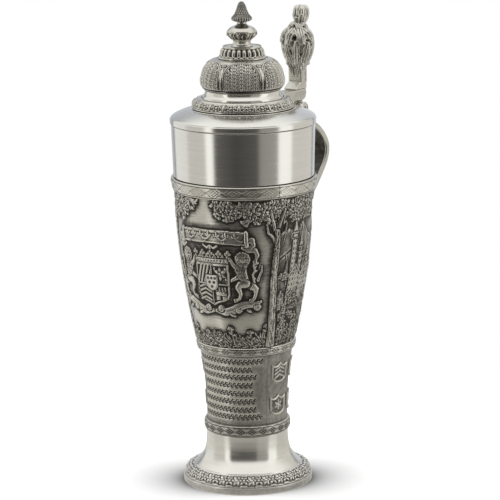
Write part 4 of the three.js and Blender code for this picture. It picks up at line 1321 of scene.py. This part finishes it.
def knop():
    base = level("finial_knop", 0)
    loop = outline(
        [(6.5, base)], [(6.5, base + 0.2), (5.5, base + 1.4), (5.15, base + 2.4), (5.2, base + 3.2)],
        [(5.6, base + 3.5)], [(5.7, base + 3.8), (7.3, base + 5.2), (8.6, base + 6.6), (9.0, base + 7.9),
                              (8.7, base + 9.3)],
        [(8.4, base + 9.5)], [(8.3, base + 9.7), (7.0, base + 11.0), (5.1, base + 11.9), (3.6, base + 12.5)],
        [(3.4, base + 12.7), (2.8, base + 13.5), (2.9, base + 14.3)], [(1.9, base + 14.3)], [(1.9, base)],
        step=0.2,
    )
    count, columns = 10, 10 * 24
    relief = repeated(loop, columns, (5.7, base + 3.8), (8.7, base + 9.3), count, knop_unit)
    band = (relief.max(1) > 0.05).astype(float)
    band = np.convolve(band, np.ones(5) / 5, "same")

    def film(points):
        return 0.06 + 0.42 * band

    turned("finial_knop", loop, columns, ANTIQUE, "lid", lambda *_: 1.5 * relief - 0.2 * band[:, None], film)


def bud():
    """Pleated skirt and a tall cone of small overlapping scales."""
    base = level("finial_bud", 0)
    loop = outline(
        [(1.9, base)], [(3.2, base)], [(3.3, base + 0.1), (4.8, base + 0.5), (5.8, base + 1.3), (6.1,
                                                                                                 base + 2.2)],
        [(6.0, base + 2.6), (5.2, base + 3.6), (4.5, base + 4.4)],
        [(4.3, base + 4.5), (3.2, base + 7.0), (2.2, base + 10.0), (1.4, base + 11.4), (0.45, base + 12.0)],
        [(0, base + 12.0)], step=0.16,
    )

    def relief(rows, bearings):
        z = rows[:, 1:] - base
        around = np.radians(bearings - PANEL_TURN)[None, :]
        pleat = np.abs(np.sin(12 * around)) ** 0.8
        skirt = np.clip(1 - np.abs(z - 1.5) / 1.3, 0, 1)
        row = z / 1.25
        shift = (np.floor(row) % 2) * math.pi / 16
        scale = np.abs(np.sin(8 * (around + shift))) ** 0.6 * (1 - 0.8 * (row % 1.0))
        cone = np.clip((z - 4.6) / 0.5, 0, 1) * np.clip((11.6 - z) / 1.5, 0, 1)
        outside = rows[:, :1] > 2.0
        return (0.8 * skirt * (pleat - 0.6) + 0.34 * cone * (scale - 0.3)) * outside

    turned("finial_bud", loop, 240, ANTIQUE, "lid", relief, 0.66, poles=True)


# ---------------------------------------------------------------- handle, hinge strap and thumblift
def signed_volume(verts, faces):
    total = 0.0
    for face in faces:
        corner = verts[list(face)]
        fan = np.cross(corner[1:-1], corner[2:])
        total += float(np.sum(fan @ corner[0]))
    return total


class Shells:
    """Closed shells gathered into one mesh."""

    def __init__(self):
        self.verts, self.faces, self.total = [], [], 0

    def add(self, verts, faces):
        verts = np.asarray(verts, float).reshape(-1, 3)
        if signed_volume(verts, faces) < 0:
            faces = [list(face)[::-1] for face in faces]
        self.faces += [[k + self.total for k in face] for face in faces]
        self.verts.append(verts)
        self.total += len(verts)

    def prism(self, points, x0, x1, bevel=0.4):
        """A [y, z] outline between two x planes, with bevelled edges."""
        loop = np.asarray(points, float)
        if not anticlockwise(loop):
            loop = loop[::-1]
        inset = loop - outline_normals(loop) * bevel
        rings = [(x0, inset), (x0 + bevel, loop), (x1 - bevel, loop), (x1, inset)]
        n = len(loop)
        verts = np.vstack([np.column_stack([np.full(n, x), ring]) for x, ring in rings])
        faces = [[r * n + k, r * n + (k + 1) % n, (r + 1) * n + (k + 1) % n, (r + 1) * n + k]
                 for r in range(3) for k in range(n)]
        self.add(verts, faces + [list(range(n))[::-1], [3 * n + k for k in range(n)]])

    def ball(self, centre, radii, ribs=0, depth=0.0, lean=(0, 0), rows=20, cols=36):
        """An ellipsoid with upright ribs, leaning by so much per millimetre of height."""
        theta = np.linspace(0.02, math.pi - 0.02, rows)[:, None]
        phi = (np.arange(cols) * 2 * math.pi / cols)[None, :]
        rib = 1 + depth * np.cos(ribs * phi) * np.sin(theta)
        x, y = np.sin(theta) * np.cos(phi) * rib, np.sin(theta) * np.sin(phi) * rib
        z = -np.cos(theta) + 0 * phi
        z = z * radii[2]
        points = np.stack([x * radii[0] + lean[0] * z, y * radii[1] + lean[1] * z, z], -1).reshape(-1, 3)
        quads = grid_quads(rows, cols, False, True).tolist()
        last = (rows - 1) * cols
        caps = [list(range(cols))[::-1], [last + k for k in range(cols)]]
        self.add(points + np.asarray(centre, float), quads + caps)

    def frond(self, root, along, out, length, width, curl, ribs=3, thick=1.1, lobes=5, cup=0.3, arch=0.0):
        """A thick acanthus leaf: root point, growing direction, outward normal, and how far it curls out."""
        d = np.asarray(along, float) / np.linalg.norm(along)
        n = np.asarray(out, float)
        n = n - d * (n @ d)
        n /= np.linalg.norm(n)
        side = np.cross(d, n)
        rows, cols = 34, 25
        s = np.linspace(0, 1, rows)[:, None, None]
        t = np.linspace(-1, 1, cols)[None, :, None]
        notch = 1 - 0.20 * np.abs(np.sin(lobes * math.pi * s)) ** 0.5
        half = width / 2 * np.sin(math.pi * (0.12 + 0.82 * s)) ** 0.5 * notch
        ribbing = 0.34 * np.cos(ribs * math.pi * t) * np.sin(math.pi * (0.1 + 0.85 * s))
        rise = curl * s ** 2 * length - cup * t ** 2 * half + ribbing
        rise = rise - 0.9 * curl * length * np.clip(s - 0.8, 0, 1) * 2 + arch * np.sin(math.pi * s)
        sheet = np.asarray(root, float) + d * length * s + side * t * half + n * rise
        back = sheet - n * thick
        verts = np.vstack([sheet.reshape(-1, 3), back.reshape(-1, 3)])
        front = grid_quads(rows, cols, False, False)
        m = rows * cols
        border = np.r_[np.arange(cols), np.arange(1, rows) * cols + cols - 1,
                       (rows - 1) * cols + np.arange(cols - 2, -1, -1), np.arange(rows - 2, 0, -1) * cols]
        after = np.roll(border, -1)
        walls = np.stack([border, border + m, after + m, after], 1)
        faces = np.vstack([front, front[:, ::-1] + m, walls])
        corner = verts[front[len(front) // 2]]
        if np.cross(corner[1] - corner[0], corner[3] - corner[0]) @ n < 0:
            faces = faces[:, ::-1]
        self.add(verts, faces.tolist())

    def piece(self, name, material, body):
        return new_object(name, np.vstack(self.verts), self.faces, material, body, (name,))


def fuse(obj, voxel):
    """Joins the shells of a piece into one skin, as a casting is."""
    remesh = obj.modifiers.new("fuse", "REMESH")
    remesh.mode = "VOXEL"
    remesh.voxel_size = voxel * MM
    relax = obj.modifiers.new("relax", "SMOOTH")
    relax.factor, relax.iterations = 0.5, 1
    evaluated = obj.evaluated_get(bpy.context.evaluated_depsgraph_get())
    mesh = bpy.data.meshes.new_from_object(evaluated)
    obj.modifiers.clear()
    obj.data = mesh
    mesh.polygons.foreach_set("use_smooth", [True] * len(mesh.polygons))


def arc(centre, radius, start, end, steps=16):
    angles = np.radians(np.linspace(start, end, steps))
    return [(centre[0] + radius * math.cos(a), centre[1] + radius * math.sin(a)) for a in angles]


PIN = tuple((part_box("hinge_pin")[0][k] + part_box("hinge_pin")[1][k]) / 2 / MM for k in (1, 2))
KNUCKLE_R = 4.2


def handle():
    """Ear-shaped strap with rolled edges, its block on the lip band and the two hinge lugs."""
    path = curve_through([
        (50.5, 208.2), (60.5, 209.6), (67.8, 208.6), (75.6, 202.9), (80.6, 196.2), (81.2, 190.6),
        (79.3, 185.4), (74.6, 179.2), (69, 173), (63, 166.8), (56.5, 159.5), (50, 151.2), (44.5, 144),
        (38.6, 139.2),
    ], 0.6)
    w = 7.0
    section = outline(
        [(-w, -1.0), (0.6 - w, -1.6), (1.3 - w, -1.6)], [(1.8 - w, -1.1), (w - 1.8, -1.1)],
        [(w - 1.3, -1.6), (w - 0.6, -1.6), (w, -1.0)],
        [(w, 0.9), (w - 0.3, 1.6), (w - 0.9, 1.8), (w - 1.5, 1.55), (w - 1.9, 0.95)],
        [(w - 2.2, 0.8), (w - 3.4, 0.95), (0, 1.15), (3.4 - w, 0.95), (2.2 - w, 0.8)],
        [(1.9 - w, 0.95), (1.5 - w, 1.55), (0.9 - w, 1.8), (0.3 - w, 1.6), (-w, 0.9)], step=0.35,
    )
    tangent = np.gradient(path, axis=0)
    tangent /= np.linalg.norm(tangent, axis=1, keepdims=True)
    out = np.stack([-tangent[:, 1], tangent[:, 0]], 1)
    rows, cols = len(path), len(section)
    yz = path[:, None, :] + out[:, None, :] * section[None, :, 1:2]
    x = np.broadcast_to(section[None, :, 0], (rows, cols))
    verts = np.concatenate([x[..., None], yz], -1).reshape(-1, 3)
    faces = grid_quads(rows, cols, False, True).tolist()
    last = (rows - 1) * cols
    caps = [list(range(cols))[::-1], [last + k for k in range(cols)]]
    shells = Shells()
    shells.add(verts, faces + caps)
    shells.prism([(42.9, 202.4), (50, 204.5), (60, 206.8), (60.5, 211.4), (57.5, 213.5), (51, 214.5),
                  (46.5, 213.5), (42.9, 212.5)], -w, w, 0.5)
    lug = [(51, 212)] + arc(PIN, KNUCKLE_R, 180, 0, 24) + [(58, 212)]
    for x0, x1 in ((3.8, 7.4), (-7.4, -3.8)):
        shells.prism(lug, x0, x1, 0.35)
    obj = shells.piece("handle", ANTIQUE, "vessel")
    inner = np.clip((-0.9 - section[:, 1]) / 0.15, 0, 1) * (np.abs(section[:, 0]) < w - 1.6)
    film = np.full(len(obj.data.vertices), 0.34)
    film[:rows * cols] += np.tile(0.42 * inner, rows)
    rub_free_form(obj, 8, film, 1.6)


def hinge_strap():
    """Arm on the lid shoulder with the knuckle between the lugs and a cast leaf over its end."""
    top = level("lid_hinge_strap", 1)
    shells = Shells()
    shells.prism([(29.6, top), (29.6, 229.8), (36, 228), (43.8, 224.6), (46.5, 223.8), (50.5, 225.4),
                  (59.5, 225.4),
                  (61.2, 226.8), (62.2, 229.4), (61.6, top)], -4.1, 4.1, 0.3)
    shells.prism([(51.3, 226)] + arc(PIN, KNUCKLE_R - 0.1, 180, 360, 24) + [(58.7, 226)], -3.4, 3.4, 0.3)
    shells.ball(PIN_CENTRE, (3.3, KNUCKLE_R - 0.15, KNUCKLE_R - 0.15))
    for x in (-2.9, -1.0, 1.0, 2.9):
        shells.ball((x, 61.3, 229.3), (1.05, 1.4, 2.4), lean=(0, 0.1))
    for side in (-1, 1):
        shells.frond((side * 4.0, 47.5, 229.6), (0, 1, 0.02), (side, 0, 0), 13.6, 4.4, 0.01, 3, 1.3, 4)
    obj = shells.piece("lid_hinge_strap", ANTIQUE, "lid")
    fuse(obj, 0.28)
    rub_free_form(obj, 8, 0.30, 2.8)


PIN_CENTRE = (0, PIN[0], PIN[1])


def thumb():
    """Cast thumblift: ledge and square post, rising leaves, three tiers of hanging ones, a petalled bud."""
    base = level("thumblift", 0)
    half = 4.4
    shells = Shells()
    shells.prism([(49.9, base), (61.9, base), (61.9, 252), (55.3, 252), (55.3, 236.8), (50.0, 233.2)], -half,
                 half, 0.35)
    for side in (-1, 1):
        for y in (56.0, 61.2):
            shells.prism([(y - 0.5, 236), (y + 0.5, 236), (y + 0.5, 250), (y - 0.5, 250)], side * half - 0.45,
                         side * half + 0.45, 0.3)
        shells.frond((side * 3.9, 57.0, 241), (side * 0.10, -0.1, 1), (side, -0.4, 0), 11.5, 5.2, 0.10, 3,
                     1.4, 3)
        shells.frond((side * 3.9, 61.0, 241), (side * 0.10, 0.1, 1), (side, 0.5, 0), 11.5, 5.0, 0.10, 3, 1.4,
                     3)
        shells.frond((side * 1.5, 55.2, 240), (side * 0.30, -0.05, 1), (side * 0.3, -1, 0), 12, 4.4, 0.12, 3,
                     1.3, 3)
    shells.ball((0, 59.2, 257.5), (7.0, 5.2, 10.5))
    # from the post upwards, one row a tier: rise is 1 for leaves that stand up and -1 for hanging ones
    for count, offset, reach, z, lean, rise, length, width, bulge in (
            (8, 22.5, 3.0, 243.0, 0.40, 1, 20.0, 7.0, 2.0), (8, 10, 2.4, 266.5, 0.64, -1, 12.5, 7.2, 2.4),
            (7, 3, 1.9, 271.0, 0.95, -1, 13.6, 8.0, 2.6), (5, 20, 1.5, 273.0, 1.3, -1, 7.0, 5.2, 1.4)):
        for k in range(count):
            a = math.radians(offset + 360 / count * k)
            x, y = math.cos(a), 0.72 * math.sin(a)
            shells.frond((reach * x, 58.9 + reach * y, z), (lean * x, lean * y, rise), (x, y, 0.3), length,
                         width,
                         0.05, 4, 2.0, 4, 0.5, bulge)
    for x, y in ((-5.2, 55.8), (5.2, 55.8), (-5.2, 62.2), (5.2, 62.2)):
        shells.ball((x, y, 247.6), (1.3, 1.3, 1.3))
    shells.ball((0, 61.6, 268.4), (3.7, 3.5, 6.0), 8, 0.10)
    shells.ball((0, 63.0, 276.0), (3.3, 3.2, 7.0))
    for k in range(4):
        a = math.pi * k / 2 + math.pi / 4
        x, y = math.cos(a), math.sin(a)
        shells.ball((2.2 * x, 63.0 + 2.0 * y, 277.2), (2.9, 2.8, 5.6), 7, 0.07, (0.06 * x, 0.06 * y), 26, 48)
        shells.frond((2.4 * x, 62.2 + 2.4 * y, 269.8), (0.28 * x, 0.28 * y, 1), (x, y, 0), 8.0, 5.4, 0.12, 3,
                     1.3, 3)
    obj = shells.piece("thumblift", ANTIQUE, "lid")
    fuse(obj, 0.26)
    rub_free_form(obj, 9, 0.27, 5.0)


# ---------------------------------------------------------------- fittings left as the CAD has them
def fittings():
    for name in ("hinge_pin", "finial_stud", "finial_nut"):
        mesh = frame["nodes"][name].data
        mesh.materials.clear()
        mesh.materials.append(STEEL)


# ---------------------------------------------------------------- studio
CAMERA_BEARING, CAMERA_ELEVATION, CAMERA_ROLL = 35.0, 11.9, 0.79
CAMERA_DISTANCE, LENS, SENSOR = 1.594, 191.3, 36.0
# Radiance seen by the metal at bearings counted from the camera's own, positive to its right.
SURROUND = [
    (-180, 0.66), (-152, 0.60), (-147, 0.25), (-141, 1.05), (-106, 1.05), (-98, 0.80), (-66, 0.80),
    (-61, 1.45),
    (-52, 1.45), (-47, 0.15), (-12, 0.08), (22, 0.12), (28, 0.38), (56, 0.46), (60, 1.40), (82, 1.40),
    (87, 0.86),
    (141, 0.86), (147, 0.28), (152, 0.76), (180, 0.80),
]
WARM, NEUTRAL, COOL = (1.0, 0.975, 0.93), (1.0, 1.0, 0.985), (0.95, 0.985, 1.06)


class Graph:
    """Short-hand for building a node tree."""

    def __init__(self, tree):
        self.nodes, self.links = tree.nodes, tree.links

    def add(self, kind, **settings):
        made = self.nodes.new(kind)
        for key, value in settings.items():
            setattr(made, key, value)
        return made

    def feed(self, socket, value):
        if isinstance(value, bpy.types.NodeSocket):
            self.links.new(value, socket)
        else:
            socket.default_value = value

    def math(self, operation, a, b=0.0, clamp=False):
        made = self.add("ShaderNodeMath", operation=operation, use_clamp=clamp)
        self.feed(made.inputs[0], a)
        self.feed(made.inputs[1], b)
        return made.outputs[0]

    def vector(self, operation, *values):
        made = self.add("ShaderNodeVectorMath", operation=operation)
        for socket, value in zip(made.inputs, values):
            self.feed(socket, value)
        return made.outputs["Value" if operation in ("LENGTH", "DOT_PRODUCT") else "Vector"]

    def remap(self, value, low, high, to_low=0.0, to_high=1.0, soft=True):
        made = self.add("ShaderNodeMapRange", interpolation_type="SMOOTHSTEP" if soft else "LINEAR")
        for socket, number in zip(made.inputs, (value, low, high, to_low, to_high)):
            self.feed(socket, number)
        return made.outputs[0]

    def mix(self, factor, a, b, blend="MIX"):
        made = self.add("ShaderNodeMix", data_type="RGBA", blend_type=blend)
        for name, value in (("Factor", factor), ("A", a), ("B", b)):
            self.feed(made.inputs[name], value)
        return made.outputs["Result"]

    def surround(self, place):
        """Radiance and height of the studio in the direction of a vector."""
        turn = self.add("ShaderNodeVectorRotate", rotation_type="Z_AXIS")
        turn.inputs["Angle"].default_value = -math.radians(CAMERA_BEARING)
        self.links.new(place, turn.inputs["Vector"])
        xyz = self.add("ShaderNodeSeparateXYZ")
        self.links.new(turn.outputs[0], xyz.inputs[0])
        bearing = self.math("ARCTAN2", xyz.outputs[0], self.math("MULTIPLY", xyz.outputs[1], -1.0))
        ramp = self.add("ShaderNodeValToRGB")
        self.links.new(self.math("ADD", self.math("DIVIDE", bearing, 2 * math.pi), 0.5), ramp.inputs[0])
        stops = ramp.color_ramp.elements
        while len(stops) > 1:
            stops.remove(stops[-1])
        for k, (angle, value) in enumerate(SURROUND):
            at = (angle + 180) / 360
            stop = stops[0] if k == 0 else stops.new(at)
            stop.position = at
            tint = COOL if abs(angle) > 145 else NEUTRAL if value > 0.9 else WARM
            stop.color = (*(value * part for part in tint), 1)
        return ramp.outputs[0], xyz.outputs[2]


def world():
    """White for the camera; for the metal a tent with soft bright strips and a dark camera side."""
    made = bpy.data.worlds.new("studio")
    bpy.context.scene.world = made
    made.use_nodes = True
    made.node_tree.nodes.clear()
    graph = Graph(made.node_tree)
    ring, height = graph.surround(graph.add("ShaderNodeTexCoord").outputs["Generated"])
    tent = graph.mix(graph.remap(height, 0.40, 0.85), ring, (1.30, 1.31, 1.30, 1))
    seen = graph.mix(graph.add("ShaderNodeLightPath").outputs["Is Camera Ray"], tent, (1, 1, 1, 1))
    background = graph.add("ShaderNodeBackground")
    graph.feed(background.inputs["Color"], seen)
    out = graph.add("ShaderNodeOutputWorld")
    graph.feed(out.inputs["Surface"], background.outputs[0])


FOOT_REACH = 0.039          # metres from the axis to the edge of the foot


def floor():
    """A round pale table, small enough that the wall reflects the studio beyond it."""
    reach, corners = 0.30, 96
    around = [2 * math.pi * k / corners for k in range(corners)]
    mesh = bpy.data.meshes.new("floor")
    mesh.from_pydata([(reach * math.cos(a), reach * math.sin(a), -0.0001) for a in around], [],
                     [tuple(range(corners))])
    obj = bpy.data.objects.new("floor", mesh)
    bpy.context.scene.collection.objects.link(obj)
    material = bpy.data.materials.new("pale_floor")
    material.use_nodes = True
    graph = Graph(material.node_tree)
    place = graph.add("ShaderNodeTexCoord").outputs["Object"]
    r = graph.vector("LENGTH", place)
    a = math.radians(CAMERA_BEARING)
    side = graph.vector("DOT_PRODUCT", graph.vector("NORMALIZE", place), (math.cos(a), math.sin(a), 0))

    # painted shadow: a soft shade pooled on both sides of the foot and a thin dark rim at its edge,
    # multiplied into the colour and glow the camera sees
    off = graph.math("SUBTRACT", FOOT_REACH, r)
    painted_side_shadow = graph.math("MULTIPLY", graph.math("EXPONENT", graph.math("DIVIDE", off, 0.024)),
                      graph.math("POWER", graph.math("ABSOLUTE", side), 1.6))
    painted_contact_shadow = graph.math("EXPONENT", graph.math("DIVIDE", off, 0.004))
    shade = graph.math("ADD", graph.math("MULTIPLY", painted_side_shadow, 0.74), graph.math("MULTIPLY", painted_contact_shadow, 0.14), True)
    # the painted shadow darkens the floor's colour and its glow alike
    light = graph.mix(shade, (1, 1, 1, 1), (0, 0, 0, 1))
    shader = graph.nodes["Principled BSDF"]
    shader.inputs["Roughness"].default_value = 0.8
    shader.inputs["Emission Strength"].default_value = 0.42
    graph.feed(shader.inputs["Base Color"], graph.mix(1.0, light, (0.86, 0.86, 0.86, 1), "MULTIPLY"))
    graph.feed(shader.inputs["Emission Color"], light)

    # painted reflection: for all rays but the camera's the table glows, bright under the foot and beyond it
    # with an echo of the studio
    ring, _ = graph.surround(place)
    far = graph.vector("ADD", graph.vector("MULTIPLY", ring, (0.42, 0.42, 0.42)), (0.42, 0.41, 0.385))
    table = graph.mix(graph.remap(r, 0.045, 0.145), (0.78, 0.77, 0.74, 1), far)
    painted_reflection_glow = graph.add("ShaderNodeEmission")
    graph.feed(painted_reflection_glow.inputs["Color"], table)
    # painted glow: a little stronger on one side of the table than the other
    graph.feed(painted_reflection_glow.inputs["Strength"], graph.remap(side, -0.9, 0.7, 1.02, 0.94, soft=False))
    mix = graph.add("ShaderNodeMixShader")
    graph.feed(mix.inputs[0], graph.add("ShaderNodeLightPath").outputs["Is Camera Ray"])
    graph.feed(mix.inputs[1], painted_reflection_glow.outputs[0])
    graph.feed(mix.inputs[2], shader.outputs[0])
    graph.feed(graph.nodes["Material Output"].inputs["Surface"], mix.outputs[0])
    mesh.materials.append(material)


def camera():
    low, high = CAD_BOUNDS
    a, e = math.radians(CAMERA_BEARING), math.radians(CAMERA_ELEVATION)
    back = Vector((math.sin(a) * math.cos(e), -math.cos(a) * math.cos(e), math.sin(e)))
    right = Vector((math.cos(a), math.sin(a), 0))
    target = Vector((0, 0, 0.4865 * (high[2] - low[2]))) + right * 0.00306
    data = bpy.data.cameras.new("camera")
    data.lens, data.sensor_width = LENS, SENSOR
    obj = bpy.data.objects.new("camera", data)
    bpy.context.scene.collection.objects.link(obj)
    obj.location = target + back * CAMERA_DISTANCE
    obj.rotation_mode = "QUATERNION"
    roll = Quaternion((0, 0, 1), -math.radians(CAMERA_ROLL))
    obj.rotation_quaternion = (-back).to_track_quat("-Z", "Y") @ roll
    bpy.context.scene.camera = obj


foot()
plain_turned()
wall()
shields()
border_ring()
dome()
crown_ring()
knop()
bud()
handle()
hinge_strap()
thumb()
fittings()
world()
floor()
camera()
bpy.context.scene.view_settings.view_transform = "Standard"
